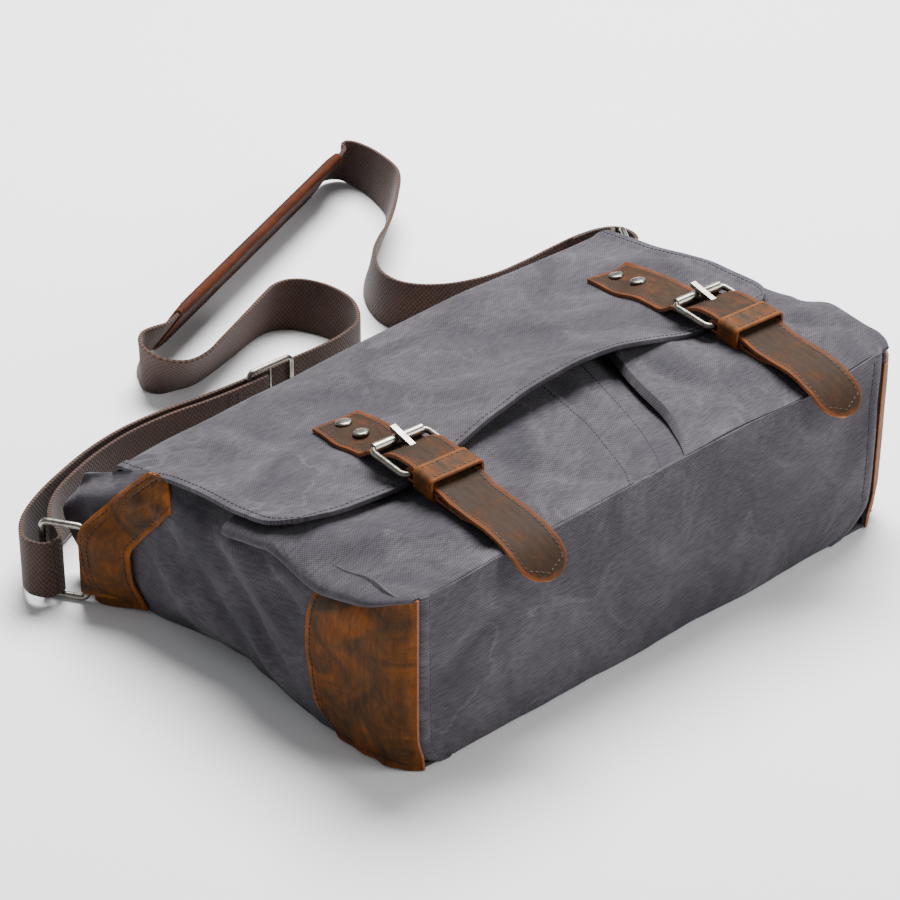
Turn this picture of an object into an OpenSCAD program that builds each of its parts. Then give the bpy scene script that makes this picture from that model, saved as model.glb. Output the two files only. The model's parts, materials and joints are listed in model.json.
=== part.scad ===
// Messenger bag of waxed canvas with leather straps, lying on its back panel.
// X runs across the bag, -Y is the bag's base, +Y its mouth, +Z its front.
// Distances along the bag are counted from the outer face of the base panel and
// then shifted, so that the origin is under the middle of the bag, on its back.

/* [Body] */
// Width of the bag at the seam between front and base
base_w = 368; // [320:1:440]
// Width that the base panel gives up at the floor
base_taper = 14; // [4:1:24]
// Height of the base panel, which is the depth of the bag
base_depth = 120; // [96:1:140]
// Length of the bag from base to mouth
body_len = 273; // [260:1:320]
// Length of the front panel under the flap
front_len = 240; // [220:1:252]
// Bulge of each side beyond the seam at mid length
side_bulge = 16; // [10:1:24]
// Bulge of each side beyond the seam near the mouth
mouth_bulge = 22; // [12:1:28]
// Height of the inner front panel above the floor at the base
front_base_z = 105; // [86:1:110]
// Height of the inner front panel above the floor at the mouth
front_mouth_z = 76; // [60:1:82]
// Turn of the filled-out front about the bag's length, higher on the right
front_roll = 1.6; // [0:0.1:2]
// Thickness of the body canvas with its backing
canvas_t = 2.4; // [1.6:0.1:3.2]
// Thickness of the lining cloth
lining_t = 1.2; // [0.8:0.1:1.6]
// Thickness of the stiff board inside the base
board_t = 2.6; // [1.5:0.1:4]

/* [Pockets] */
// Distance of the pocket mouths from the base
pocket_len = 141; // [120:1:170]
// Wall of the pocket cloth
pocket_t = 2.2; // [1.6:0.1:3]
// Middle of the pen pocket at the base seam
pen_base_x = -7; // [-30:1:30]
// Middle of the pen pocket at the pocket mouths
pen_mouth_x = 30; // [-30:1:40]
// Width of the pen pocket at the base seam
pen_base_w = 40; // [30:1:60]
// Width of the pen pocket at the pocket mouths
pen_mouth_w = 54; // [40:1:70]

/* [Flap] */
// Width of the flap
flap_w = 390; // [340:1:440]
// Distance of the flap's front edge from the base
flap_edge_v = 93; // [80:1:110]
// Height of the flap's outer face at its front edge
flap_edge_z = 123; // [116:1:126]
// Distance of the flap's fold from the base
fold_v = 248; // [240:1:262]
// Height of the flap's outer face at its fold
fold_z = 90; // [86:1:96]
// Corner radius of the flap
flap_r = 24; // [10:1:40]
// Thickness of the flap's canvas
flap_t = 2.2; // [1.6:0.1:3]

/* [Straps and buckles] */
// Width of the two closing straps
billet_w = 32; // [28:1:36]
// Thickness of the strap leather
billet_t = 2.2; // [1.8:0.1:2.6]
// Place of the left strap across the bag
left_x = -97; // [-130:1:-70]
// Place of the right strap across the bag
right_x = 137; // [90:1:150]
// Distance of the left strap's riveted end from the base
left_end_v = 178; // [165:1:200]
// Distance of the right strap's riveted end from the base
right_end_v = 196; // [165:1:205]
// Length of strap that hangs over the base seam
tail_over = 18; // [8:1:26]
// Distance of the left buckle's bar from the base
left_bar_v = 83; // [78:1:86]
// Distance of the right buckle's bar from the base
right_bar_v = 78; // [76:1:86]
// Turn of the closing straps away from straight, tails towards the left
strap_skew = 5; // [0:0.5:7]
// Distance from buckle bar to roller
buckle_len = 33; // [30:1:38]
// Diameter of the buckle wire
buckle_wire = 4; // [3:0.1:4.4]
// Diameter of the roller
roller_d = 6.4; // [5.8:0.1:7]
// Diameter of the rivet caps
cap_d = 10; // [8:0.5:11]
// Thickness of the buckle tab and keeper leather
tab_t = 2; // [1.6:0.1:2.2]
// Length of the keeper along the strap
keeper_len = 17; // [12:1:18]

/* [Carrying strap] */
// Width of the webbing
web_w = 38; // [30:1:40]
// Thickness of the webbing
web_t = 2.4; // [1.6:0.1:3]
// Diameter of the ring wire
ring_wire = 4; // [3:0.1:4.4]
// Height of the rings between wire centres
ring_h = 50; // [46:1:56]
// Reach of the rings between bar centres
ring_reach = 26; // [24:1:28]
// Height of the left ring's centre above the floor
left_ring_z = 28; // [28:1:40]
// Height of the right ring's centre above the floor
right_ring_z = 52; // [40:1:56]
// Length of the shoulder pad
pad_len = 244; // [200:1:248]

/* [Hidden] */
$fn = 48;

canvas_colour = "#77747f";
leather_colour = "#8a5427";
web_colour = "#4a3328";
metal_colour = "#a09d94";
lining_colour = "#5b5349";

fit = 0.4;             // gap between layers of one body
run = 0.1;             // radial gap on a turning pin
clear = 0.35;          // gap between pieces that move past each other
reach = 400;           // larger than the bag, for cutting shapes
seam_half = base_w / 2;
floor_half = seam_half - base_taper / 2;
seam_rise = seam_half * tan(front_roll);
ring_angle = 33;       // turn of the ring away from straight towards the mouth
band_t = 1.8;
ring_gap = 12;         // from the leather band to the ring's inner bar
ring_x = seam_half + mouth_bulge + band_t + ring_gap;
ring_v = body_len - 25;
hem_v = body_len + 1;
mid_v = (hem_v + 0.9 - tail_over) / 2;

// Outer plan of one side, from base to mouth, as distances from the middle line
side_plan = [
    [seam_half, canvas_t],
    [seam_half + side_bulge * 0.75, 29],
    [seam_half + side_bulge - 1, 73],
    [seam_half + side_bulge, 153],
    [seam_half + mouth_bulge, 223],
    [seam_half + mouth_bulge, body_len]];

front_slope = (front_mouth_z - front_base_z) / (front_len - canvas_t);
flap_slope = (flap_edge_z - fold_z) / (fold_v - flap_edge_v);
flap_tilt = atan(flap_slope);
flap_full_t = flap_t + lining_t;
fold_axis_z = fold_z - flap_full_t / 2;
pocket_z = flap_edge_z - flap_full_t - 0.6;
function front_z(v) = front_base_z + front_slope * (v - canvas_t);
function flap_z(v) = flap_edge_z - flap_slope * (v - flap_edge_v);
function pocket_top(v) = v < flap_edge_v ? pocket_z : pocket_z - flap_slope * (v - flap_edge_v);

// Moves a shape from distances along the bag to the bag's own origin
module on_bag() {
    translate([0, -mid_v, 0]) children();
}

// Rolls a shape of the front about the bag's length, through the middle of the fold
module rolled() {
    on_bag()
        translate([0, 0, fold_axis_z])
            rotate([0, -front_roll, 0])
                translate([0, 0, -fold_axis_z]) children();
}

// Turns a profile of [distance, height] points into a bar across the bag
module across(width, middle = 0) {
    translate([middle - width / 2, 0, 0])
        rotate([90, 0, 90])
            linear_extrude(width) children();
}

// Plan of the whole bag, drawn in by a distance on its two sides
function inset_side(sign, gap) = [for (p = side_plan) [sign * (p[0] - gap), p[1]]];
function reversed(list) = [for (i = [len(list) - 1 : -1 : 0]) list[i]];
function body_plan(gap) = concat(inset_side(1, gap), reversed(inset_side(-1, gap)));

// Keeps what lies between two heights that may slope along the bag
module between(v0, v1, low0, low1, high0, high1) {
    across(2 * reach) polygon([[v0, low0], [v1, low1], [v1, high1], [v0, high0]]);
}

module back_panel() {
    color(canvas_colour) on_bag() linear_extrude(canvas_t) polygon(body_plan(0));
}

module base_panel() {
    color(canvas_colour)
        on_bag()
            translate([0, canvas_t, 0])
                rotate([90, 0, 0])
                    linear_extrude(canvas_t)
                        polygon([[-floor_half, 0], [floor_half, 0],
                            [seam_half, base_depth + seam_rise],
                            [-seam_half, base_depth - seam_rise]]);
}

module front_panel() {
    color(canvas_colour)
        on_bag()
            intersection() {
                linear_extrude(reach) polygon(body_plan(0));
                between(canvas_t, front_len, front_base_z - canvas_t,
                    front_mouth_z - canvas_t, front_base_z, front_mouth_z);
            }
}

// One side wall, between the back panel and the front panel
module gusset(sign) {
    wall = concat(inset_side(sign, 0), reversed(inset_side(sign, canvas_t)));
    color(canvas_colour)
        on_bag()
            intersection() {
                linear_extrude(reach) polygon(wall);
                across(2 * reach)
                    polygon([[canvas_t, canvas_t], [body_len, canvas_t], [body_len, front_mouth_z - 15],
                        [front_len + 15, front_mouth_z - canvas_t],
                        [front_len, front_z(front_len) - canvas_t],
                        [canvas_t, front_base_z - canvas_t]]);
            }
}

// A pouch on the front panel, open towards the bag's mouth; its outer wall rolls
// with the front and is drawn in by a gap
module pouch_space(x, gap, over) {
    intersection() {
        on_bag()
            linear_extrude(reach)
                polygon([[x[0] + gap, canvas_t - over], [x[1] - gap, canvas_t - over],
                    [x[3] - gap, pocket_len + over], [x[2] + gap, pocket_len + over]]);
        rolled()
            across(2 * reach)
                polygon([[canvas_t - 10, 0], [pocket_len + 10, 0],
                    [pocket_len + 10, pocket_top(pocket_len + 10) - gap],
                    [flap_edge_v, pocket_z - gap], [canvas_t - 10, pocket_z - gap]]);
    }
}

module pouch(x) {
    color(canvas_colour)
        intersection() {
            difference() {
                pouch_space(x, 0, 0);
                pouch_space(x, pocket_t, 1);
            }
            on_bag()
                between(0, pocket_len + 5, front_z(0), front_z(pocket_len + 5), reach, reach);
        }
}

pen_base_x0 = pen_base_x - pen_base_w / 2;
pen_base_x1 = pen_base_x + pen_base_w / 2;
pen_mouth_x0 = pen_mouth_x - pen_mouth_w / 2;
pen_mouth_x1 = pen_mouth_x + pen_mouth_w / 2;
pocket_half = seam_half + 8;

module pocket_left() {
    pouch([-seam_half + 1, pen_base_x0 - fit, -pocket_half, pen_mouth_x0 - fit]);
}

module pocket_right() {
    pouch([pen_base_x1 + fit, seam_half - 1, pen_mouth_x1 + fit, pocket_half]);
}

module pen_pocket() {
    pouch([pen_base_x0, pen_base_x1, pen_mouth_x0, pen_mouth_x1]);
}

// Leather that wraps the lower corner of one side, outside the gusset
corner_t = 2;
corner_v = 70;
module corner_leather(sign) {
    skin = concat(inset_side(sign, -corner_t - 0.1), reversed(inset_side(sign, -0.1)));
    color(leather_colour)
        on_bag()
            intersection() {
                linear_extrude(reach) polygon(skin);
                across(2 * reach)
                    polygon([[canvas_t, 0.6], [corner_v + 4, 0.6], [corner_v, 50],
                        [corner_v - 12, front_base_z - 8], [canvas_t, front_base_z - 4]]);
            }
}

// Leather band over one side near the mouth; it bends towards the flap at mid height
band_w = 28;
band_v = ring_v - 15;
module side_band(sign) {
    skin = concat(inset_side(sign, -band_t - 0.1), reversed(inset_side(sign, -0.1)));
    color(leather_colour)
        on_bag()
            intersection() {
                linear_extrude(reach) polygon(skin);
                across(2 * reach)
                    polygon([[band_v - band_w / 2, 0.6], [band_v + band_w / 2, 0.6],
                        [band_v + band_w / 2 + 3, 44], [band_v + 2, front_mouth_z - 2],
                        [band_v - band_w + 3, front_mouth_z - 2], [band_v - band_w / 2 + 4, 48]]);
            }
}

// Leather loop that holds the inner bar of one ring
tab_h = 40;
tab_leg = ring_gap / sin(ring_angle) + 2;
tab_inner = ring_wire / 2 + 0.3;
tab_outer = tab_inner + band_t;
module ring_tab(sign, height) {
    color(leather_colour)
        on_bag()
            mirror([sign < 0 ? 1 : 0, 0, 0])
                difference() {
                    translate([ring_x, ring_v, height - tab_h / 2])
                        rotate([0, 0, -ring_angle])
                            difference() {
                                union() {
                                    cylinder(h = tab_h, r = tab_outer);
                                    translate([-tab_outer, -tab_leg, 0])
                                        cube([2 * tab_outer, tab_leg, tab_h]);
                                }
                                translate([0, 0, -1]) cylinder(h = tab_h + 2, r = tab_inner);
                            }
                    translate([ring_x - ring_gap + 0.1 - reach, 0, -1])
                        cube([reach, reach, 2 * reach]);
                }
}

// Rectangular wire ring; its inner bar turns in the leather loop
module ring(sign, height) {
    wire = ring_wire / 2;
    color(metal_colour)
        on_bag()
            mirror([sign < 0 ? 1 : 0, 0, 0])
                translate([ring_x, ring_v, height])
                    rotate([0, 0, -ring_angle]) {
                        for (v = [0, ring_reach])
                            translate([0, v, -ring_h / 2]) cylinder(h = ring_h, r = wire);
                        for (z = [-ring_h / 2, ring_h / 2]) {
                            translate([0, 0, z])
                                rotate([-90, 0, 0]) cylinder(h = ring_reach, r = wire);
                            for (v = [0, ring_reach])
                                translate([0, v, z]) sphere(r = wire);
                        }
                    }
}

// Cloth pouch inside the body, open at the mouth
lining_gap = canvas_t + fit;
lining_end = front_len - 6;
lining_v = canvas_t + fit + board_t + fit;
module lining_plan() {
    linear_extrude(reach) polygon(body_plan(lining_gap + 1));
}
function lining_top(v) = front_z(v) - lining_gap;

module lining_back() {
    color(lining_colour)
        on_bag()
            intersection() {
                lining_plan();
                between(lining_v, lining_end, lining_gap, lining_gap,
                    lining_gap + lining_t, lining_gap + lining_t);
            }
}

module lining_front() {
    color(lining_colour)
        on_bag()
            intersection() {
                lining_plan();
                between(lining_v, lining_end, lining_top(lining_v) - lining_t,
                    lining_top(lining_end) - lining_t, lining_top(lining_v), lining_top(lining_end));
            }
}

module lining_base() {
    color(lining_colour)
        on_bag()
            intersection() {
                lining_plan();
                between(lining_v, lining_v + lining_t, lining_gap + lining_t, lining_gap + lining_t,
                    lining_top(lining_v) - lining_t, lining_top(lining_v + lining_t) - lining_t);
            }
}

module lining_side(sign) {
    skin = concat(inset_side(sign, lining_gap + 1), reversed(inset_side(sign, lining_gap + 1 + lining_t)));
    color(lining_colour)
        on_bag()
            intersection() {
                linear_extrude(reach) polygon(skin);
                between(lining_v + lining_t, lining_end, lining_gap + lining_t, lining_gap + lining_t,
                    lining_top(lining_v + lining_t) - lining_t, lining_top(lining_end) - lining_t);
            }
}

module lining_left() {
    lining_side(-1);
}

module lining_right() {
    lining_side(1);
}

// Stiff board between the base panel and the lining
module base_board() {
    color("#2e2a26")
        on_bag()
            translate([-floor_half + 8, canvas_t + fit / 2, canvas_t + fit])
                cube([2 * floor_half - 16, board_t, front_base_z - 3 * canvas_t]);
}

// Flap: the part behind the fold stands over the mouth and turns at its hem
hem_z = canvas_t + 2;
hinge_r = 1.7;
fold_axis_v = fold_v;
back_rise = fold_axis_z - hem_z;
back_run = hem_v - fold_axis_v;
back_len = sqrt(back_rise * back_rise + back_run * back_run);
back_lean = atan(back_run / back_rise);
fold_rise = flap_w / 2 * tan(front_roll);

module flap_back() {
    color(canvas_colour) {
        on_bag()
            translate([0, hem_v, hem_z])
                rotate([back_lean + 90, 0, 0])
                    translate([0, 0, -hinge_r])
                        linear_extrude(2 * hinge_r)
                            polygon([[-flap_w / 2, 0], [flap_w / 2, 0],
                                [flap_w / 2, back_len + fold_rise],
                                [-flap_w / 2, back_len - fold_rise]]);
        on_bag()
            translate([-flap_w / 2, hem_v, hem_z])
                rotate([0, 90, 0]) cylinder(h = flap_w, r = hinge_r);
        rolled()
            translate([-flap_w / 2, fold_axis_v, fold_axis_z])
                rotate([0, 90, 0]) cylinder(h = flap_w, r = hinge_r);
    }
}

// Places a shape on the slope of the flap's outer face at a distance from the base
module on_flap(v) {
    rolled() translate([0, v, flap_z(v)]) rotate([-flap_tilt, 0, 0]) children();
}

// Turns a closing strap and its buckle about the middle of the buckle bar
module on_strap(x, bar) {
    rolled()
        translate([x, bar, 0])
            rotate([0, 0, -strap_skew])
                translate([0, -bar, 0]) children();
}

flap_run = (fold_v - flap_edge_v) / cos(flap_tilt) - hinge_r - 0.8;

// Flap outline in its own slope, from front edge to fold, with round front corners
module flap_outline(width, corner) {
    translate([-width / 2, corner]) square([width, flap_run - corner]);
    translate([-width / 2 + corner, 0]) square([width - 2 * corner, corner + 0.01]);
    for (side = [-1, 1])
        translate([side * (width / 2 - corner), corner]) circle(r = corner, $fn = 64);
}

left_rivets = [left_end_v - 9, left_end_v - 26];
right_rivets = [right_end_v - 9, right_end_v - 30];
shank_r = 1.5;

// Places a shape at each rivet of a strap, square to the flap
module at_rivets(x, bar, places) {
    on_strap(x, bar)
        for (v = places)
            translate([0, v, flap_z(v)]) rotate([-flap_tilt, 0, 0]) children();
}

module rivet_holes() {
    at_rivets(left_x, left_bar_v, left_rivets) rivet_hole();
    at_rivets(right_x, right_bar_v, right_rivets) rivet_hole();
}

module rivet_hole() {
    translate([0, 0, -10]) cylinder(h = 20, r = shank_r + run);
}

module flap_front() {
    color(canvas_colour)
        difference() {
            on_flap(flap_edge_v)
                translate([0, 0, -flap_t]) linear_extrude(flap_t) flap_outline(flap_w, flap_r);
            rivet_holes();
        }
}

module flap_lining() {
    color(lining_colour)
        difference() {
            on_flap(flap_edge_v)
                translate([0, 1.5, -flap_full_t])
                    linear_extrude(lining_t)
                        intersection() {
                            flap_outline(flap_w - 8, flap_r);
                            translate([-flap_w / 2, 0]) square([flap_w, flap_run - 2]);
                        }
            rivet_holes();
        }
}

// Heights at the buckle, worked out from the pocket upwards
keeper_low = pocket_z + fit;
tab_low = keeper_low + tab_t + 0.3;
bar_r = buckle_wire / 2;
fold_in = bar_r + 0.3;
fold_out = fold_in + tab_t;
bar_z = tab_low + fold_out;
roller_r = roller_d / 2;
half_t = billet_t / 2;
strap_seat = 0.55;
upper_ply_z = tab_low + 2 * tab_t + 0.1;
keeper_near = bar_r + 4;
keeper_far = keeper_near + keeper_len;
ply_far = keeper_far + 3;
tab_end_v = 21;
frame_in = billet_w + 2;
arm_x = frame_in / 2 + bar_r;

// Course of a closing strap from its riveted end to its tip, as centre points
function billet_course(end_v, bar) =
    let (roller_v = bar + buckle_len, under = bar_z - roller_r - clear - half_t) [
    [end_v, flap_z(end_v) + half_t + strap_seat],
    [roller_v + 16, flap_z(roller_v + 16) + half_t + strap_seat],
    [roller_v + 3, under],
    [roller_v - 4, under],
    [bar + 4, bar_z + fold_out + fit + half_t - 0.3],
    [bar - 2, bar_z + fold_out + fit + half_t],
    [bar - keeper_near - 5, upper_ply_z + fit + half_t + 2.4],
    [bar - ply_far - 1, upper_ply_z + fit + half_t],
    [bar - ply_far - 9, tab_low + tab_t + fit + half_t],
    [tab_end_v - 6, tab_low + tab_t + fit + half_t],
    [3, base_depth + 3.4],
    [-7, base_depth],
    [-tail_over - 1, base_depth - 9]];

// Profile of constant thickness around a course
function unit(a, b) = (b - a) / norm(b - a);
function normal_at(c, i) =
    let (d = unit(c[max(i - 1, 0)], c[min(i + 1, len(c) - 1)])) [-d[1], d[0]];
function ribbon(c, t) = concat(
    [for (i = [0 : len(c) - 1]) c[i] + normal_at(c, i) * t / 2],
    [for (i = [len(c) - 1 : -1 : 0]) c[i] - normal_at(c, i) * t / 2]);

slot_w = 4.8;
module billet(x, end_v, bar, rivet_places) {
    round_r = billet_w / 2;
    color(leather_colour)
        difference() {
            on_strap(x, bar)
                intersection() {
                    across(billet_w) polygon(ribbon(billet_course(end_v, bar), billet_t));
                    union() {
                        translate([0, round_r - tail_over, 0]) cylinder(h = reach, r = round_r);
                        translate([-round_r, round_r - tail_over, 0])
                            cube([billet_w, end_v + reach, reach]);
                    }
                }
            on_strap(x, bar)
                translate([-slot_w / 2, bar + 3, 0])
                    cube([slot_w, buckle_len - 15, reach]);
            at_rivets(x, bar, rivet_places) rivet_hole();
        }
}

// Riveted fastener: flat domed cap, shank and back washer
module rivet() {
    seat = billet_t + strap_seat + 0.15;
    translate([0, 0, seat]) cylinder(h = 0.9, r = cap_d / 2);
    translate([0, 0, seat + 0.9]) cylinder(h = 1, r1 = cap_d / 2, r2 = cap_d / 2 - 1.4);
    translate([0, 0, -flap_full_t - 0.9]) cylinder(h = seat + flap_full_t + 1.2, r = shank_r);
    translate([0, 0, -flap_full_t - 0.9]) cylinder(h = 0.9, r = cap_d / 2 - 0.5);
}

module rivets() {
    color(metal_colour) {
        at_rivets(left_x, left_bar_v, left_rivets) rivet();
        at_rivets(right_x, right_bar_v, right_rivets) rivet();
    }
}

// Leather tab folded round the buckle bar, with a notch for the tongue's eye
notch_w = 7;
module buckle_tab(x, bar) {
    ply_v = bar - ply_far;
    flat_v = bar - keeper_near - 5;
    end_r = billet_w / 2;
    color(leather_colour)
        on_strap(x, bar)
            difference() {
                union() {
                    across(billet_w)
                        difference() {
                            union() {
                                translate([bar, bar_z]) circle(r = fold_out);
                                translate([ply_v, tab_low]) square([ply_far, tab_t]);
                                polygon([[bar, bar_z + fold_out], [bar, bar_z + fold_in],
                                    [flat_v, upper_ply_z - tab_t], [ply_v, upper_ply_z - tab_t],
                                    [ply_v, upper_ply_z], [flat_v, upper_ply_z]]);
                            }
                            translate([bar, bar_z]) circle(r = fold_in);
                            polygon([[bar, bar_z - fold_in], [bar, bar_z + fold_in],
                                [flat_v, tab_low + tab_t]]);
                        }
                    translate([0, tab_end_v + end_r, tab_low]) cylinder(h = tab_t, r = end_r);
                    translate([-end_r, tab_end_v + end_r, tab_low])
                        cube([billet_w, ply_v - tab_end_v - end_r + 0.01, tab_t]);
                }
                translate([-notch_w / 2, bar - 5, tab_low - 1])
                    cube([notch_w, reach, 3 * fold_out]);
            }
}

// Leather loop round the tab and the strap
module keeper(x, bar) {
    half_in = billet_w / 2 + 0.5;
    rise = bar_z + fold_out + billet_t + 0.1;
    color(leather_colour)
        on_strap(x, bar)
            translate([0, bar - keeper_far, 0])
                difference() {
                    translate([-half_in - tab_t, 0, keeper_low])
                        cube([2 * (half_in + tab_t), keeper_len, rise + tab_t - keeper_low]);
                    translate([-half_in, -1, tab_low - 0.3])
                        cube([2 * half_in, keeper_len + 2, rise - tab_low + 0.3]);
                }
}

// Wire frame of the buckle: bar, two arms and the thinner rod inside the roller
rod_r = 1.7;
module buckle_frame(x, bar) {
    color(metal_colour)
        on_strap(x, bar)
            translate([0, bar, bar_z]) {
                translate([-arm_x, 0, 0])
                    rotate([0, 90, 0]) cylinder(h = 2 * arm_x, r = bar_r);
                translate([-arm_x, buckle_len, 0])
                    rotate([0, 90, 0]) cylinder(h = 2 * arm_x, r = rod_r);
                for (side = [-1, 1])
                    translate([side * arm_x, 0, 0]) {
                        rotate([-90, 0, 0]) cylinder(h = buckle_len, r = bar_r);
                        sphere(r = bar_r);
                        translate([0, buckle_len, 0]) sphere(r = bar_r);
                    }
            }
}

// Tube that turns on the rod
roller_len = frame_in - 2 * clear;
module roller(x, bar) {
    color(metal_colour)
        on_strap(x, bar)
            translate([-roller_len / 2, bar + buckle_len, bar_z])
                rotate([0, 90, 0])
                    difference() {
                        cylinder(h = roller_len, r = roller_r);
                        translate([0, 0, -1]) cylinder(h = roller_len + 2, r = rod_r + run);
                    }
}

// Tongue: an eye on the bar and a shank that lies on the roller
tongue_w = 3.6;
tongue_t = 2.8;
eye_w = 5;
tongue_rise = atan((roller_r + clear + tongue_t / 2) / buckle_len);
tongue_len = buckle_len / cos(tongue_rise) + roller_r + 1.5;
module tongue(x, bar) {
    color(metal_colour)
        on_strap(x, bar)
            translate([0, bar, bar_z])
                difference() {
                    union() {
                        translate([-eye_w / 2, 0, 0])
                            rotate([0, 90, 0]) cylinder(h = eye_w, r = bar_r + 1.7);
                        rotate([tongue_rise, 0, 0])
                            translate([-tongue_w / 2, 0, -tongue_t / 2])
                                cube([tongue_w, tongue_len, tongue_t]);
                    }
                    translate([-eye_w, 0, 0])
                        rotate([0, 90, 0]) cylinder(h = 2 * eye_w, r = bar_r + run);
                }
}

// Magnetic closure under each tab: flat socket on the pocket, flat stud on the tab
snap_v = 41;
stud_h = 0.8;
socket_h = tab_low - pocket_z - stud_h - clear;
module at_snaps(z) {
    on_strap(left_x, left_bar_v) translate([0, snap_v, z]) children();
    on_strap(right_x, right_bar_v) translate([0, snap_v, z]) children();
}

module snap_sockets() {
    color(metal_colour) at_snaps(pocket_z) cylinder(h = socket_h, r = 8);
}

module snap_studs() {
    color(metal_colour) at_snaps(tab_low - stud_h) cylinder(h = stud_h, r = 7);
}

// Carrying strap: route points are [x, y, height of the webbing's middle, lean], chosen
// by hand on the floor behind the bag; lean tips the top edge to the right of the course
pad_right = [218, 419, 19.4, -34];
pad_left = [-24, 308, 19.4, -34];
strap_route = [
    [236.5, 189, 29.5, 0], [244.2, 176.5, 38, 0], [244.8, 162, 46, 0], [238.5, 153.5, 49.5, 0],
    [228, 149.5, 51, 0], [222.5, 143.5, 51, 0], [222.5, 136.5, 51, 0], [227, 131.5, 51, 0],
    [234, 130.5, 51, 0],
    [241, 134, 51, 0], [245.5, 144, 50, 0], [248, 160, 46, 0], [247, 177, 38, 0],
    [239, 191, 29, 0], [225, 199, 22, 0], [204, 201, 19.3, 0], [176, 201.5, 19.3, 0],
    [150, 209, 19.3, 0], [132, 221, 19.3, 0], [122, 237, 19.3, 0], [122, 256, 19.3, 3],
    [134, 279, 19.3, 9], [150, 295, 19.2, 15], [170, 310, 19, 20], [199, 334, 19, 17],
    [223, 358, 19.2, 12], [231, 382, 19.3, 6], [233, 402, 19.3, 0], [231, 415, 19.3, -8],
    [226, 420, 19.6, -25], pad_right, pad_left, [-36, 303, 19.4, -23], [-46, 296, 19.3, -5],
    [-52, 287, 19.3, 4], [-52, 277, 19, 14], [-47, 269, 18, 26], [-37, 264, 16.6, 33],
    [-25, 263, 17, 30], [-12, 266, 18, 25], [18, 277, 18.6, 19], [44, 287, 19, 14],
    [57, 289.5, 19.2, 8], [68, 286, 19.3, 0], [76, 277, 19.3, -6], [82, 261, 19.3, -6],
    [83, 242, 19.5, -3], [77, 225, 20, 0], [66, 212, 21, 0], [48, 204.5, 22, 0],
    [28, 201.5, 22.6, 0], [6, 201.5, 22.6, 0], [-44, 201.5, 22.6, 0], [-68, 203.4, 22.2, 0],
    [-96, 207, 21.6, 0], [-126, 207.5, 21.2, 0], [-156, 202, 21.2, 0], [-184, 192, 21.6, 0],
    [-208, 181, 22.2, 0], [-228, 168, 23, 0], [-240, 155, 24, 0], [-244.5, 143, 25, 0],
    [-241, 134, 25, 0], [-237, 131.3, 25, 0], [-234.2, 131.3, 25, 0]];
return_route = [
    [-233.8, 131.3, 25, 0], [-231, 131.3, 25, 0], [-227.5, 133, 25, 0], [-224.5, 140, 25, 0],
    [-222, 150, 25, 0],
    [-213, 163, 24, 0], [-198, 176, 22.8, 0], [-178, 186.5, 21.8, 0], [-154, 195.5, 21.2, 0],
    [-126, 201, 21.2, 0], [-96, 201, 21.6, 0], [-68, 197, 22.2, 0], [-44, 195.3, 22.6, 0],
    [-22, 195.3, 22.6, 0]];

// Directions and one eight-sided flat ring of points at a route point
function along(r, i) =
    let (a = r[max(i - 1, 0)], b = r[min(i + 1, len(r) - 1)], d = [b[0] - a[0], b[1] - a[1], 0])
    d / norm(d);
function flat_ring(p, d, t) =
    let (side = [d[1], -d[0], 0], up = [0, 0, 1],
        high = up * cos(p[3]) + side * sin(p[3]),
        flat = side * cos(p[3]) - up * sin(p[3]),
        h = web_w / 2, e = t / 4,
        mid = [p[0], p[1], p[2]])
    [for (q = [[-t / 2, -h + e], [-e, -h], [e, -h], [t / 2, -h + e],
        [t / 2, h - e], [e, h], [-e, h], [-t / 2, h - e]])
        mid + flat * q[0] + high * q[1]];
function flat_tube(r, t) =
    [for (i = [0 : len(r) - 1]) each flat_ring(r[i], along(r, i), t)];
function tube_faces(count) = concat(
    [[for (k = [0 : 7]) k]],
    [for (i = [0 : count - 2]) each
        [for (k = [0 : 7])
            let (a = i * 8 + k, b = i * 8 + (k + 1) % 8) each
            [[a, a + 8, b + 8], [a, b + 8, b]]]],
    [[for (k = [7 : -1 : 0]) (count - 1) * 8 + k]]);

module webbing(route) {
    color(web_colour)
        polyhedron(points = flat_tube(route, web_t), faces = tube_faces(len(route)), convexity = 8);
}

module shoulder_strap() {
    webbing(strap_route);
}

module strap_return() {
    webbing(return_route);
}

// Slide buckle on the webbing: a wire frame with a middle bar
adj_x = -18;
adj_y = 198.4;
adj_len = 34;
adj_in = web_w + 3;
adj_r = 1.7;
adj_mid_r = 0.8;
adj_z = adj_in / 2 + 2 * adj_r + 0.1;
module strap_adjuster() {
    color(metal_colour)
        translate([adj_x, adj_y, adj_z]) {
            for (x = [-adj_len / 2, adj_len / 2])
                translate([x, 0, -adj_in / 2 - adj_r])
                    cylinder(h = adj_in + 2 * adj_r, r = adj_r);
            translate([0, 0, -adj_in / 2 - adj_r])
                cylinder(h = adj_in + 2 * adj_r, r = adj_mid_r);
            for (side = [-1, 1])
                translate([-adj_len / 2, 0, side * (adj_in / 2 + adj_r)])
                    rotate([0, 90, 0]) cylinder(h = adj_len, r = adj_r);
        }
}

// Leather sleeve that slides on the straight stretch of webbing
pad_h = web_w + 4;
pad_t = web_t + 4;
module shoulder_pad() {
    heading = atan2(pad_left[1] - pad_right[1], pad_left[0] - pad_right[0]);
    color(leather_colour)
        translate([(pad_left[0] + pad_right[0]) / 2, (pad_left[1] + pad_right[1]) / 2, pad_right[2]])
            rotate([0, 0, heading])
                rotate([pad_right[3], 0, 0])
                    difference() {
                        cube([pad_len, pad_t, pad_h], center = true);
                        cube([pad_len + 2, web_t + 0.8, web_w + 0.8], center = true);
                    }
}

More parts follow.
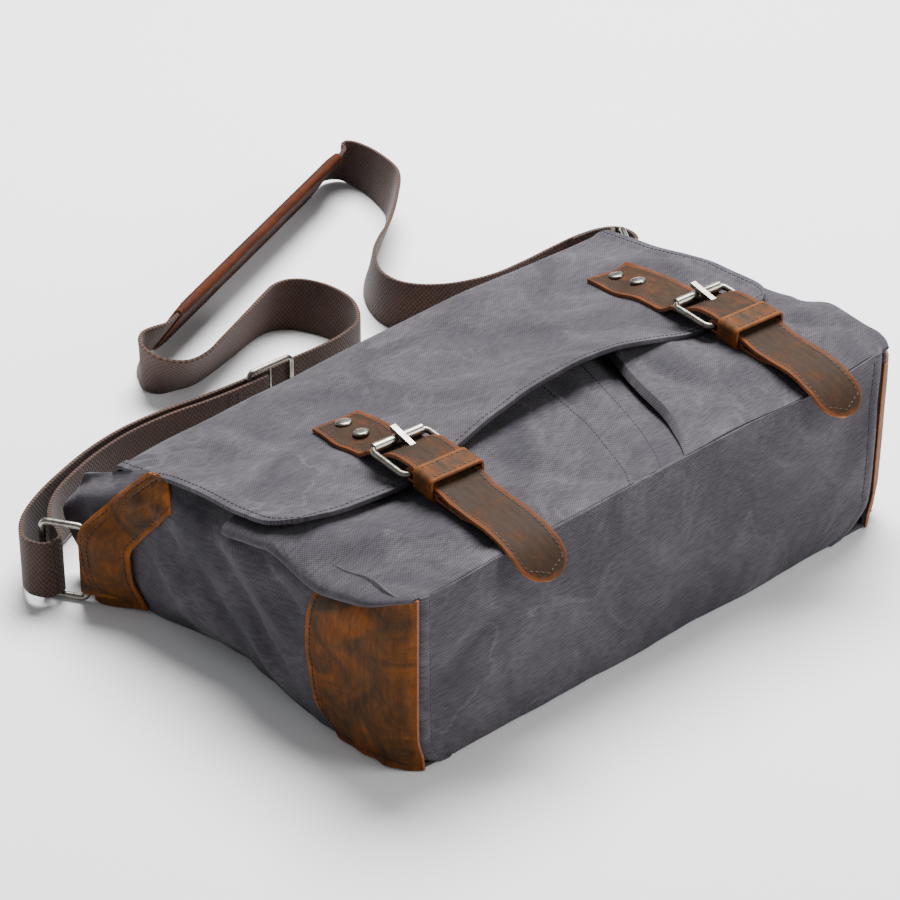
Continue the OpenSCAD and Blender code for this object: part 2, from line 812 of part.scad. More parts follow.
back_panel();
base_panel();
front_panel();
gusset(-1);  // gusset_left
gusset(1);  // gusset_right
pocket_left();
pocket_right();
pen_pocket();
corner_leather(-1);  // corner_leather_left
corner_leather(1);  // corner_leather_right
side_band(-1);  // side_band_left
side_band(1);  // side_band_right
ring_tab(-1, left_ring_z);  // ring_tab_left
ring_tab(1, right_ring_z);  // ring_tab_right
ring(-1, left_ring_z);  // ring_left
ring(1, right_ring_z);  // ring_right
lining_back();
lining_base();
lining_front();
lining_left();
lining_right();
base_board();
flap_back();
flap_front();
flap_lining();
billet(left_x, left_end_v, left_bar_v, left_rivets);  // billet_left
billet(right_x, right_end_v, right_bar_v, right_rivets);  // billet_right
rivets();
buckle_tab(left_x, left_bar_v);  // buckle_tab_left
buckle_tab(right_x, right_bar_v);  // buckle_tab_right
keeper(left_x, left_bar_v);  // keeper_left
keeper(right_x, right_bar_v);  // keeper_right
buckle_frame(left_x, left_bar_v);  // buckle_frame_left
buckle_frame(right_x, right_bar_v);  // buckle_frame_right
roller(left_x, left_bar_v);  // roller_left
roller(right_x, right_bar_v);  // roller_right
tongue(left_x, left_bar_v);  // tongue_left
tongue(right_x, right_bar_v);  // tongue_right
snap_sockets();
snap_studs();
shoulder_strap();
strap_return();
strap_adjuster();
shoulder_pad();
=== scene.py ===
# %% [markdown]
# # A waxed-canvas messenger bag, built around its engineering model
# The bag lies on its back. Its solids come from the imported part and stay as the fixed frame; every
# soft piece is modelled here in their place. All lengths below are in millimetres, turned to metres
# as each point is placed, and distances along the bag are counted from its base.

# %% Load the frame
import json
import math

import bmesh
import bpy
from mathutils import Matrix, Vector, noise
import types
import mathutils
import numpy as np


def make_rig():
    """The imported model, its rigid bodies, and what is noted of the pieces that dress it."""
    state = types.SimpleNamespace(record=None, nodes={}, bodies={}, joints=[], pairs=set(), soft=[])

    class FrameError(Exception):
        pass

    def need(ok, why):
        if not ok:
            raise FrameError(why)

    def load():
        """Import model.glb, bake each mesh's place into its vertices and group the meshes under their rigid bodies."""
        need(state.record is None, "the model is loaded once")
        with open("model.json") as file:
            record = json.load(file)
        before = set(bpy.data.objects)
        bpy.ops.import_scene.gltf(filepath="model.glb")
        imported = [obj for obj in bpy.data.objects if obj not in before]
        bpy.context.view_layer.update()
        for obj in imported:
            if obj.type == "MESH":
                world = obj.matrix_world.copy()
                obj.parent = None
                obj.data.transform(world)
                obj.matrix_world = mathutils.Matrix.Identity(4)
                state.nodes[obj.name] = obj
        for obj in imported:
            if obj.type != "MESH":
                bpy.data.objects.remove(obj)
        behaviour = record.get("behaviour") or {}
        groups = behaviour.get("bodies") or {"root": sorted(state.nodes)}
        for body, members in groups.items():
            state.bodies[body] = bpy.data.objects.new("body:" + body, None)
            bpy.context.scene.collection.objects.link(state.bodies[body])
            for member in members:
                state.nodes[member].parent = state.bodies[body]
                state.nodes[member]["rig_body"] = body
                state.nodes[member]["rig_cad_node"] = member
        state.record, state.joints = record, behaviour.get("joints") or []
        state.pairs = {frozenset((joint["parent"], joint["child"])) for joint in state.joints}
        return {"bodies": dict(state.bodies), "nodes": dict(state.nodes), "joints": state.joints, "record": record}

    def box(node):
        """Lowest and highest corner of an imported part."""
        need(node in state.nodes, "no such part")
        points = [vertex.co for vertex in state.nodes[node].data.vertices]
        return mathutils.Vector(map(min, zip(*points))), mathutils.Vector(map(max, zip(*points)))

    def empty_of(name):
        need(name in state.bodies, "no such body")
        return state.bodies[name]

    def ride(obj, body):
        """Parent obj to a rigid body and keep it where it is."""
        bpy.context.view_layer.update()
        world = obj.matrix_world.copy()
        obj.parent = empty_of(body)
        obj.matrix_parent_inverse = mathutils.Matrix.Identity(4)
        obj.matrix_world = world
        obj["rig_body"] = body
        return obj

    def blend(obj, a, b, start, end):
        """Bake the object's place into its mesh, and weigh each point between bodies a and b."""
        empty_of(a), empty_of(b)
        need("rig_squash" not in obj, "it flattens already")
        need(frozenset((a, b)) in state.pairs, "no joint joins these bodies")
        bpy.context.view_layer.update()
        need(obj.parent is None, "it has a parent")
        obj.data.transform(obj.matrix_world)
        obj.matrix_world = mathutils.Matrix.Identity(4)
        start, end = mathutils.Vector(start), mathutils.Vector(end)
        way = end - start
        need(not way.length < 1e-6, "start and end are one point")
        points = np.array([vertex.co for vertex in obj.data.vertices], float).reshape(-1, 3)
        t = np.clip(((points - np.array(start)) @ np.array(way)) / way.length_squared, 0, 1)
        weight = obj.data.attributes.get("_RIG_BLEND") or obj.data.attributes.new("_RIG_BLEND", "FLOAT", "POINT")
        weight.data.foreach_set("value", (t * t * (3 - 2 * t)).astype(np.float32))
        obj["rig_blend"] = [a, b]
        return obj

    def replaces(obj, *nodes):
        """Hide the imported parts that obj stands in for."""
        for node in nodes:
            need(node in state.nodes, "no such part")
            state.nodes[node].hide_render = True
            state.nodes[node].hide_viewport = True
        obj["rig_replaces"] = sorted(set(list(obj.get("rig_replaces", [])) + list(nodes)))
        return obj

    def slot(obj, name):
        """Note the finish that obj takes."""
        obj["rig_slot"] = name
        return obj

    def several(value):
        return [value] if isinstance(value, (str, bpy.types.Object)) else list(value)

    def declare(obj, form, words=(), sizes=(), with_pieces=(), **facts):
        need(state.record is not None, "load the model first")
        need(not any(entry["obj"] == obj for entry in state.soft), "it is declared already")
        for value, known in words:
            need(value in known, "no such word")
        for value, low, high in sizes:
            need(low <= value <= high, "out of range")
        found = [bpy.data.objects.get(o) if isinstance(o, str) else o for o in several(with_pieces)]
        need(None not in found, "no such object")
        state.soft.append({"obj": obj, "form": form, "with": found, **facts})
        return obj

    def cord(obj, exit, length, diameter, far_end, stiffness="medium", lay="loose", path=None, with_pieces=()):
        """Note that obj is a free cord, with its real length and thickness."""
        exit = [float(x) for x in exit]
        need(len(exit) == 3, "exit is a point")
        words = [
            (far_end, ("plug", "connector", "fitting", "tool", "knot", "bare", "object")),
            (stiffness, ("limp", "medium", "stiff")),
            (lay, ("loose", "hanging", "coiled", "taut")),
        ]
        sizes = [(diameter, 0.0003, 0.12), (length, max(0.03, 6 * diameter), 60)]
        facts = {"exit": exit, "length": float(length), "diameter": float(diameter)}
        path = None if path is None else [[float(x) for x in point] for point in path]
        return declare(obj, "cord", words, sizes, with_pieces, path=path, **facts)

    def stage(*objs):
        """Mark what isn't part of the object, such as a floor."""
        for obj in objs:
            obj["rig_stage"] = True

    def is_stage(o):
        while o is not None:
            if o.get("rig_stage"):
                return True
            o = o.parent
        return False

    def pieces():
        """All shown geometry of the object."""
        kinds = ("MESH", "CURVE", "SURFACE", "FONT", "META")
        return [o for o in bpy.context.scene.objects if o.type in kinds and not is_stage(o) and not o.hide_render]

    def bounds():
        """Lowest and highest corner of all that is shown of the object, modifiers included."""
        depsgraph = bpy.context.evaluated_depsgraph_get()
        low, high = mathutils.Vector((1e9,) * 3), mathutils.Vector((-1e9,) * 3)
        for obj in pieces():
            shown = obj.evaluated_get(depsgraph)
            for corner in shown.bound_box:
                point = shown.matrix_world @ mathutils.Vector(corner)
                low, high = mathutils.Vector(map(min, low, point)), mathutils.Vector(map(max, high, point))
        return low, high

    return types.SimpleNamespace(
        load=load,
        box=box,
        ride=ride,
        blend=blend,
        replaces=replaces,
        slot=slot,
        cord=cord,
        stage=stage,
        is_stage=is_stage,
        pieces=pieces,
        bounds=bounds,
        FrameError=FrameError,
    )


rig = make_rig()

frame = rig.load()
cad_low, cad_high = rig.bounds()
MM = 0.001
BASE_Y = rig.box("base_panel")[0].y
print("bodies:", len(frame["bodies"]), "nodes:", len(frame["nodes"]), "base at", round(BASE_Y, 4))

# %% [markdown]
# ## Camera
# A long lens from the front left, looking down by a third of a right angle, shows the flap, the
# base and the left side together. A camera can be dragged about by hand or aimed with a constraint;
# here it is placed by its turn, height and distance from a point in the middle of the bag, so that
# each can be changed alone. It is rolled by a hair to level the view.

# %% Camera
VIEW_TURN = math.radians(-42.1)
VIEW_HEIGHT = math.radians(32.5)
VIEW_ROLL = math.radians(0.37)
VIEW_DISTANCE = 1.9
AIM = Vector((-0.0038, 0.04485, 0.050))
SENSOR_MM = 36.0
LENS_MM = 126.8


def place_camera():
    back = Vector((math.sin(VIEW_TURN) * math.cos(VIEW_HEIGHT),
                   -math.cos(VIEW_TURN) * math.cos(VIEW_HEIGHT), math.sin(VIEW_HEIGHT)))
    right = Vector((math.cos(VIEW_TURN), math.sin(VIEW_TURN), 0))
    up = back.cross(right)
    right, up = (right * math.cos(VIEW_ROLL) + up * math.sin(VIEW_ROLL),
                 up * math.cos(VIEW_ROLL) - right * math.sin(VIEW_ROLL))
    camera = bpy.data.objects.new("camera", bpy.data.cameras.new("camera"))
    bpy.context.scene.collection.objects.link(camera)
    camera.data.sensor_width = SENSOR_MM
    camera.data.lens = LENS_MM
    turn = Matrix((right, up, back)).transposed().to_4x4()
    camera.matrix_world = Matrix.Translation(AIM + back * VIEW_DISTANCE) @ turn
    bpy.context.scene.camera = camera
    return camera


print("camera at", [round(c, 3) for c in place_camera().matrix_world.translation])

# %% [markdown]
# ## Colours and materials
# Every finish is procedural and starts from what the real one is. Colours are written as the sRGB
# hex values that a painter would pick, and one function turns them to the linear light that the
# renderer works in. One small helper adds a node with its settings and links.

# %% Colour and node helpers
def linear(hex_colour):
    """sRGB hex to linear red, green, blue and alpha."""
    parts = [int(hex_colour[i:i + 2], 16) / 255 for i in (1, 3, 5)]
    return [c / 12.92 if c <= 0.04045 else ((c + 0.055) / 1.055) ** 2.4 for c in parts] + [1.0]


def put(tree, kind, inputs=(), **settings):
    """Adds a node; an input given a socket is linked, and one given a value is set."""
    made = tree.nodes.new(kind)
    for name, value in settings.items():
        setattr(made, name, value)
    for name, value in dict(inputs).items():
        if isinstance(value, bpy.types.NodeSocket):
            tree.links.new(value, made.inputs[name])
        else:
            made.inputs[name].default_value = value
    return made


def new_finish(name, roughness, **sockets):
    """An empty material with its shader; sockets are set on the shader itself."""
    material = bpy.data.materials.new(name)
    material.use_nodes = True
    tree = material.node_tree
    tree.nodes.clear()
    shader = put(tree, "ShaderNodeBsdfPrincipled", {"Roughness": roughness, **sockets})
    put(tree, "ShaderNodeOutputMaterial", {"Surface": shader.outputs[0]})
    return material, tree, shader


def relief_of(tree, shader, height, strength, depth_mm):
    """Bump on the shader from a height between about 0 and 1."""
    made = put(tree, "ShaderNodeBump", {"Height": height, "Strength": strength,
                                        "Distance": depth_mm * MM})
    tree.links.new(made.outputs[0], shader.inputs["Normal"])


def stretched(tree, coordinates, along):
    """Coordinates that draw a pattern out along the threads."""
    return put(tree, "ShaderNodeMapping", {"Vector": coordinates, "Scale": along}).outputs[0]


def ramp(tree, factor, stops):
    """A colour ramp with stops of (place, hex colour)."""
    made = put(tree, "ShaderNodeValToRGB", {"Fac": factor})
    bands = made.color_ramp.elements
    for i, (place, colour) in enumerate(stops):
        band = bands[i] if i < 2 else bands.new(place)
        band.position = place
        band.color = linear(colour)
    return made.outputs[0]


def cloth_coordinates(tree):
    """Metres across and along the cloth, as the piece's own UV map gives them."""
    return put(tree, "ShaderNodeTexCoord").outputs["UV"]


def sines(tree, coordinates, across_mm, along_mm):
    """Two sine waves, across and along the cloth, of the given thread pitches."""
    parts = put(tree, "ShaderNodeSeparateXYZ", {"Vector": coordinates})
    waves = []
    for axis, pitch in (("X", across_mm), ("Y", along_mm)):
        angle = put(tree, "ShaderNodeMath", {0: parts.outputs[axis], 1: math.tau / (pitch * MM)},
                    operation="MULTIPLY")
        waves.append(put(tree, "ShaderNodeMath", {0: angle.outputs[0]}, operation="SINE").outputs[0])
    return waves


def noise_of(tree, coordinates, size_mm, detail=3.0, roughness=0.5, distortion=0.0):
    """Soft noise whose patches are about size_mm across."""
    return put(tree, "ShaderNodeTexNoise", {"Vector": coordinates, "Scale": 1 / (size_mm * MM),
               "Detail": detail, "Roughness": roughness, "Distortion": distortion}).outputs[0]


def calc(tree, operation, *values):
    """One step of arithmetic on sockets or numbers."""
    return put(tree, "ShaderNodeMath", dict(enumerate(values)), operation=operation).outputs[0]


def mixed(tree, factor, first, second, blend="MIX"):
    """Mixes two colours, given as sockets or linear values."""
    return put(tree, "ShaderNodeMixRGB", {"Fac": factor, "Color1": first, "Color2": second},
               blend_type=blend).outputs[0]


# %% [markdown]
# Waxed cotton canvas is a heavy plain weave dressed with wax. The wax makes it matte and a little
# uneven, and wherever the cloth has been folded it breaks into paler lines. The threads are about
# 0.6 mm apart; they are drawn at three times that so that they still show from this distance.
# Waves and noise on the piece's own UV map keep the weave square to the threads on every panel.

# %% Waxed canvas
THREAD_MM = 1.9           # drawn pitch of the threads
SLUB_MM = 1.7             # thick places in a thread
WAX_PATCH_MM = 55         # darker and paler patches of wax
CRACK_NET_MM = 58         # spacing of the pale lines
CRACK_AREA_MM = 85        # areas that have been folded and areas that haven't


def make_canvas(name, dark, middle, pale, crease_colour):
    material, tree, shader = new_finish(name, 0.85, **{"Sheen Weight": 0.06,
                                                       "Sheen Roughness": 0.6,
                                                       "Specular IOR Level": 0.15})
    uv = cloth_coordinates(tree)
    patches = noise_of(tree, uv, WAX_PATCH_MM, 4.0, 0.6, 0.8)
    colour = ramp(tree, patches, [(0.30, dark), (0.52, middle), (0.75, pale)])
    folds = noise_of(tree, uv, CRACK_NET_MM, 4.0, 0.5, 0.35)
    line = calc(tree, "SUBTRACT", 1.0, calc(tree, "MULTIPLY", 34.0,
                calc(tree, "ABSOLUTE", calc(tree, "SUBTRACT", folds, 0.5))))
    where = calc(tree, "SUBTRACT", calc(tree, "MULTIPLY", noise_of(tree, uv, CRACK_AREA_MM, 2.0), 3.6),
                 1.45)
    crease = calc(tree, "MULTIPLY", calc(tree, "MAXIMUM", line, 0.0),
                  put(tree, "ShaderNodeClamp", {"Value": where}).outputs[0])
    colour = mixed(tree, calc(tree, "MULTIPLY", crease, 0.22), colour, linear(crease_colour))
    across, along = sines(tree, uv, THREAD_MM, THREAD_MM)
    weave = calc(tree, "MULTIPLY", across, along)
    slub = noise_of(tree, stretched(tree, uv, (0.25, 1.0, 1.0)), SLUB_MM, 2.0)
    thread = calc(tree, "ADD", calc(tree, "MULTIPLY", weave, 0.30), slub)
    shade = ramp(tree, thread, [(0.15, "#a9a6aa"), (0.8, "#ffffff")])
    colour = mixed(tree, 1.0, colour, shade, "MULTIPLY")
    tree.links.new(colour, shader.inputs["Base Color"])
    relief = calc(tree, "ADD", thread, calc(tree, "MULTIPLY", crease, 1.4))
    relief_of(tree, shader, relief, 0.55, 0.5)
    return material


canvas = make_canvas("waxed_cotton_canvas_slate", "#36333a", "#474349", "#5a565c", "#837f85")
lining_cloth = make_canvas("plain_cotton_lining_brown", "#4f473d", "#5b5248", "#665c50", "#6d6456")
print("canvas and lining cloth made")

# %% [markdown]
# The leather is an oiled pull-up hide: where it bends or is rubbed the oil moves and the colour
# jumps from a dark olive brown to orange. Each leather piece carries the distance to its own edge
# as an attribute, so the tan creeps in from the edges, which noise alone couldn't know; cut edges
# are raw and orange.

# %% Oiled leather
OIL_CLOUD_MM = 26         # patches where the oil has moved
SCUFF_MM = 3.0            # short rubbed marks
PORE_MM = 1.1             # the hide's grain


def make_leather(name, heart, body_colour, glow, edge_width_mm, contrast=0.5):
    material, tree, shader = new_finish(name, 0.6, **{"Specular IOR Level": 0.1})
    uv = cloth_coordinates(tree)
    clouds = noise_of(tree, uv, OIL_CLOUD_MM, 5.0, 0.62, 1.2)
    edge = put(tree, "ShaderNodeAttribute", attribute_name="edge").outputs["Fac"]
    near = calc(tree, "SUBTRACT", 1.0, calc(tree, "DIVIDE", edge, edge_width_mm * MM))
    near = put(tree, "ShaderNodeClamp", {"Value": near}).outputs[0]
    tone = calc(tree, "ADD", calc(tree, "MULTIPLY", calc(tree, "SUBTRACT", clouds, 0.5), 2.0 * contrast),
                calc(tree, "ADD", 0.42, calc(tree, "MULTIPLY", near, 0.42)))
    colour = ramp(tree, tone, [(0.12, heart), (0.45, body_colour), (0.9, glow)])
    scuffs = noise_of(tree, stretched(tree, uv, (1.0, 0.22, 1.0)), SCUFF_MM, 4.0, 0.7)
    shade = ramp(tree, scuffs, [(0.25, "#bdb4aa"), (0.7, "#ffffff")])
    colour = mixed(tree, 1.0, colour, shade, "MULTIPLY")
    tree.links.new(colour, shader.inputs["Base Color"])
    grain = put(tree, "ShaderNodeTexVoronoi", {"Vector": uv, "Scale": 1 / (PORE_MM * MM)},
                feature="DISTANCE_TO_EDGE").outputs["Distance"]
    relief = calc(tree, "ADD", calc(tree, "MULTIPLY", grain, 0.5), scuffs)
    relief_of(tree, shader, relief, 0.35, 0.6)
    dull = ramp(tree, clouds, [(0.3, "#cbcbcb"), (0.7, "#e2e2e2")])
    tree.links.new(dull, shader.inputs["Roughness"])
    return material


strap_leather = make_leather("oiled_hide_strap", "#251b13", "#37271a", "#6e3a16", 4.0, 0.5)
panel_leather = make_leather("oiled_hide_panel", "#34281a", "#5b381c", "#824919", 4.5, 1.0)
pad_leather = make_leather("oiled_hide_pad", "#26110b", "#331810", "#5d2d12", 3.0, 0.3)


def make_raw_edge():
    material, tree, shader = new_finish("raw_cut_hide_edge", 0.75)
    spots = noise_of(tree, put(tree, "ShaderNodeTexCoord").outputs["Object"], 4, 3.0)
    tree.links.new(ramp(tree, spots, [(0.3, "#613518"), (0.7, "#80471e")]), shader.inputs["Base Color"])
    return material


raw_edge = make_raw_edge()
print("leathers made")

# %% [markdown]
# The strap is heavy cotton webbing in a basket weave: plump tufts of about 1.8 mm by 1.4 mm, each
# row shifted by a tuft. Modelled threads would be heavy; two crossed sine waves give that chequer
# at a set size. The tufts catch the light and the gaps between them go dark: the tufts' height drives
# the bump and is also painted into the colour, as painted shade in the gaps, with the fuzz as a random
# fibre tone.

# %% Basket-weave webbing
TUFT_PITCH_MM = (3.6, 2.8)    # two tufts across and two along
FUZZ_MM = 0.8
WEAR_MM = 60


def make_webbing():
    material, tree, shader = new_finish("basket_weave_cotton_webbing", 0.85,
                                        **{"Specular IOR Level": 0.3, "Sheen Weight": 0.15})
    uv = cloth_coordinates(tree)
    across, along = sines(tree, uv, *TUFT_PITCH_MM)
    tuft = calc(tree, "MULTIPLY", across, along)
    fuzz = noise_of(tree, uv, FUZZ_MM, 3.0)
    height = calc(tree, "ADD", calc(tree, "MULTIPLY", tuft, 0.28), calc(tree, "MULTIPLY", fuzz, 0.7))
    wear = noise_of(tree, uv, WEAR_MM, 2.0)
    # colour from height: painted shade darkens the gaps between the tufts; the fuzz part is random fibre tone
    colour = ramp(tree, height, [(0.0, "#1d110b"), (0.3, "#38241b"), (0.8, "#5f3d2a")])
    colour = mixed(tree, 1.0, colour, ramp(tree, wear, [(0.3, "#c8c0ba"), (0.7, "#ffffff")]), "MULTIPLY")
    tree.links.new(colour, shader.inputs["Base Color"])
    relief_of(tree, shader, height, 0.8, 0.8)
    return material


webbing = make_webbing()
print("webbing tufts", [pitch / 2 for pitch in TUFT_PITCH_MM], "mm")

# %% [markdown]
# The buckles, rings and rivets are steel with an antique nickel plating, tumbled so that it is
# satin with a few darker patches. Thread is waxed polyester: near black on canvas, dark brown on
# leather. These parts are small and carry no map, so their noise reads Object coordinates.

# %% Antique nickel, thread and board
def make_nickel():
    material, tree, shader = new_finish("antique_nickel_satin", 0.3, Metallic=1.0)
    place = put(tree, "ShaderNodeTexCoord").outputs["Object"]
    patches = noise_of(tree, place, 7, 3.0)
    tree.links.new(ramp(tree, patches, [(0.3, "#6e6a62"), (0.7, "#98938a")]), shader.inputs["Base Color"])
    dull = ramp(tree, noise_of(tree, place, 3, 4.0), [(0.3, "#858585"), (0.75, "#a8a8a8")])
    tree.links.new(dull, shader.inputs["Roughness"])
    return material


def make_plain(name, low, high, size_mm, roughness):
    material, tree, shader = new_finish(name, roughness)
    place = put(tree, "ShaderNodeTexCoord").outputs["Object"]
    tree.links.new(ramp(tree, noise_of(tree, place, size_mm), [(0.3, low), (0.7, high)]),
                   shader.inputs["Base Color"])
    return material


nickel = make_nickel()
navy_thread = make_plain("waxed_thread_navy", "#16151d", "#2a2934", 2, 0.6)
brown_thread = make_plain("waxed_thread_brown", "#24150c", "#3d2413", 2, 0.6)
board = make_plain("pressed_fibre_board", "#26221e", "#36302a", 3, 0.8)
print("metal, threads and board made")

# %% [markdown]
# ## Shape helpers
# A soft piece is a flat grid of cloth that is laid over a surface. The grid's columns and rows are
# given in millimetres on the cloth, a function says where each of its points goes, and the same
# numbers become the UV map, so a weave keeps its true size. A simulated cloth would sag by itself,
# but a sewn bag's folds lie in known places, and a function puts them exactly there.
# First come the small curves that such functions are written with.

# %% Curves, bumps and folds
def smooth(low, high, t):
    t = min(1.0, max(0.0, (t - low) / (high - low)))
    return t * t * (3 - 2 * t)


def bump(t, middle, width):
    return math.exp(-((t - middle) / width) ** 2)


def curve(knots, t):
    """A smooth curve through (place, value) knots; value may be a number or a Vector."""
    t = min(max(t, knots[0][0]), knots[-1][0])
    i = max(k for k in range(len(knots) - 1) if knots[k][0] <= t)
    (t0, a), (t1, b) = knots[i], knots[i + 1]
    before, after = knots[max(i - 1, 0)], knots[min(i + 2, len(knots) - 1)]
    span = t1 - t0
    slope_a = (b - before[1]) * (span / (t1 - before[0]))
    slope_b = (after[1] - a) * (span / (after[0] - t0))
    s = (t - t0) / span
    return (a * (2 * s**3 - 3 * s**2 + 1) + slope_a * (s**3 - 2 * s**2 + s)
            + b * (-2 * s**3 + 3 * s**2) + slope_b * (s**3 - s**2))


def distances_along(points, start=0.0, least=0.0):
    """How far along its chain each point is; least is the smallest step that is counted."""
    spots = [start]
    for p, q in zip(points, points[1:]):
        spots.append(spots[-1] + max(math.dist(p, q), least))
    return spots


def run_of(points, start=0.0):
    """Knots by distance along a chain of (v, z) points."""
    return [(s, Vector(p)) for s, p in zip(distances_along(points, start), points)]


def ripple(a, b, size, seed=0.0):
    """Gentle cloth unevenness between -1 and 1."""
    return noise.noise(Vector((a / size, b / size, seed)))


def fold(a, b, start, end, width):
    """1 on the line from start to end, fading to 0 beside it and towards its ends."""
    p, s, e = Vector((a, b)), Vector(start), Vector(end)
    along = (p - s).dot(e - s) / (e - s).length_squared
    off = (p - s - (e - s) * along).length
    return math.exp(-(off / width) ** 2) * smooth(-0.15, 0.2, along) * (1 - smooth(0.8, 1.15, along))


def steps(low, high, step, hems=()):
    """Even steps from low to high, with extra ones at each hem's distance from both ends."""
    count = max(1, round((high - low) / step))
    marks = {low + (high - low) * i / count for i in range(count + 1)}
    for inset in hems:
        marks |= {low + inset, high - inset}
    kept = []
    for mark in sorted(marks):
        if not kept or mark - kept[-1] > 0.3:
            kept.append(mark)
    return kept


# %% [markdown]
# The front of the bag leans up a little towards the right, because the right pocket is fuller. Two
# functions give a point on the bag, one level and one leaning, and a surface's own slope tells
# which way is out of the cloth.

# %% Places on the bag
ROLL = math.radians(1.6)
FOLD_AXIS_Z = 88.3


def bag(x, v, z):
    """A point in metres from millimetres across, from the base and up."""
    return Vector((x * MM, BASE_Y + v * MM, z * MM))


def rolled(x, v, z):
    """The same for pieces of the front, which leans up towards the right."""
    high = z - FOLD_AXIS_Z
    return bag(x * math.cos(ROLL) - high * math.sin(ROLL), v,
               x * math.sin(ROLL) + high * math.cos(ROLL) + FOLD_AXIS_Z)


def normal_of(surface, a, b, step=0.6):
    """The direction square to a surface(a, b)."""
    across = surface(a + step, b) - surface(a - step, b)
    along = surface(a, b + step) - surface(a, b - step)
    return across.cross(along).normalized()


def lifted(surface, a, b, lift):
    return surface(a, b) + normal_of(surface, a, b) * (lift * MM)


# %% [markdown]
# A panel starts as a bmesh grid. Each vertex moves to its place on the surface, the flat numbers
# become its map, and its distance from the panel's edge is kept for the leather. Solidify then
# gives the thickness evenly, and a small bevel rounds the cut edges.

# %% Cloth laid over a surface
def finish_piece(mesh_builder, name, materials):
    mesh = bpy.data.meshes.new(name)
    mesh_builder.to_mesh(mesh)
    mesh_builder.free()
    piece = bpy.data.objects.new(name, mesh)
    bpy.context.scene.collection.objects.link(piece)
    for material in materials:
        mesh.materials.append(material)
    return piece


def cloth(name, columns, rows, place, thick, materials, edge_of=None, closed=False, round_mm=0.0):
    """Lays a grid over place(column, row); closed joins the last column to the first."""
    sheet = bmesh.new()
    edge = sheet.verts.layers.float.new("edge")
    uv = sheet.loops.layers.uv.new("UVMap")
    wide, tall = len(columns) - 1, len(rows) - 1
    bmesh.ops.create_grid(sheet, x_segments=wide, y_segments=tall, size=1.0)
    spot = {}
    for vert in sheet.verts:
        column, row = round((vert.co.x + 1) / 2 * wide), round((vert.co.y + 1) / 2 * tall)
        spot[vert] = (columns[column], rows[row])
    for vert, (a, b) in spot.items():
        vert.co = place(a, b)
        side = min(b - rows[0], rows[-1] - b) if closed else min(
            a - columns[0], columns[-1] - a, b - rows[0], rows[-1] - b)
        vert[edge] = (edge_of(a, b) if edge_of else side) * MM
    for face in sheet.faces:
        face.smooth = True
        for loop in face.loops:
            loop[uv].uv = Vector(spot[loop.vert]) * MM
    if closed:
        bmesh.ops.remove_doubles(sheet, verts=sheet.verts, dist=1e-6)
    piece = finish_piece(sheet, name, materials)
    if thick:
        wall = piece.modifiers.new("thickness", "SOLIDIFY")
        wall.thickness, wall.offset = thick * MM, 0.0
        wall.use_quality_normals = True
        wall.material_offset_rim = len(materials) - 1
    if round_mm:
        soft = piece.modifiers.new("rounded edges", "BEVEL")
        soft.width, soft.segments = round_mm * MM, 2
        soft.limit_method, soft.angle_limit = "ANGLE", math.radians(50)
    return piece


# %% [markdown]
# A stitch shows as a short bead of thread with a gap after it. A texture could draw it, but a real
# bead catches the light from any side, and a sphere of few faces, drawn out along the seam, is
# enough for one.

# %% Stitches along a line
def walk(points, pitch):
    """Places every pitch metres along a line of points, with the line's direction there."""
    places, left = [], pitch / 2
    for a, b in zip(points, points[1:]):
        span = (b - a).length
        while left <= span:
            places.append((a + (b - a) * (left / span), (b - a) / span))
            left += pitch
        left -= span
    return places


def sew(name, runs, material, pitch=3.4, length=2.5, radius=0.38):
    """One small thread bead for each stitch along every run of points."""
    whole = bmesh.new()
    beads = 0
    for points in runs:
        run = bmesh.new()
        for place, direction in walk(points, pitch * MM):
            turn = direction.to_track_quat("Z", "X").to_matrix().to_4x4()
            size = Matrix.Diagonal((radius * MM, radius * MM, length * MM / 2, 1))
            bmesh.ops.create_uvsphere(run, u_segments=6, v_segments=4, radius=1,
                                      matrix=Matrix.Translation(place) @ turn @ size)
            beads += 1
        part = bpy.data.meshes.new("run")
        run.to_mesh(part)
        run.free()
        whole.from_mesh(part)
        bpy.data.meshes.remove(part)
    for face in whole.faces:
        face.smooth = True
    print(name, "stitches:", beads)
    return finish_piece(whole, name, [material])


def line_on(surface, places, lift, step=4.0):
    """Points in metres along straight runs between (a, b) places on a surface."""
    points = []
    for (a0, b0), (a1, b1) in zip(places, places[1:]):
        count = max(1, round(math.hypot(a1 - a0, b1 - b0) / step))
        for i in range(count + 1):
            a, b = a0 + (a1 - a0) * i / count, b0 + (b1 - b0) * i / count
            points.append(lifted(surface, a, b, lift))
    return points


# %% [markdown]
# Rings and buckle frames are bent from round wire, so a curve with a round section makes them.
# Rivet caps are turned, so half their outline is spun about its axis.

# %% Wires and turned pieces
def wire(name, points, radius, material, cyclic=True):
    """A round wire along points in metres, made from a curve and turned to a mesh."""
    path = bpy.data.curves.new(name, "CURVE")
    path.dimensions = "3D"
    path.bevel_depth = radius * MM
    path.bevel_resolution = 4
    path.use_fill_caps = True
    line = path.splines.new("POLY")
    line.points.add(len(points) - 1)
    for i, point in enumerate(points):
        line.points[i].co = (*point, 1)
    line.use_cyclic_u = cyclic
    holder = bpy.data.objects.new(name + "_path", path)
    mesh = bpy.data.meshes.new_from_object(holder)
    mesh.name = name
    bpy.data.objects.remove(holder)
    piece = bpy.data.objects.new(name, mesh)
    bpy.context.scene.collection.objects.link(piece)
    mesh.materials.clear()
    mesh.materials.append(material)
    mesh.shade_smooth()
    return piece


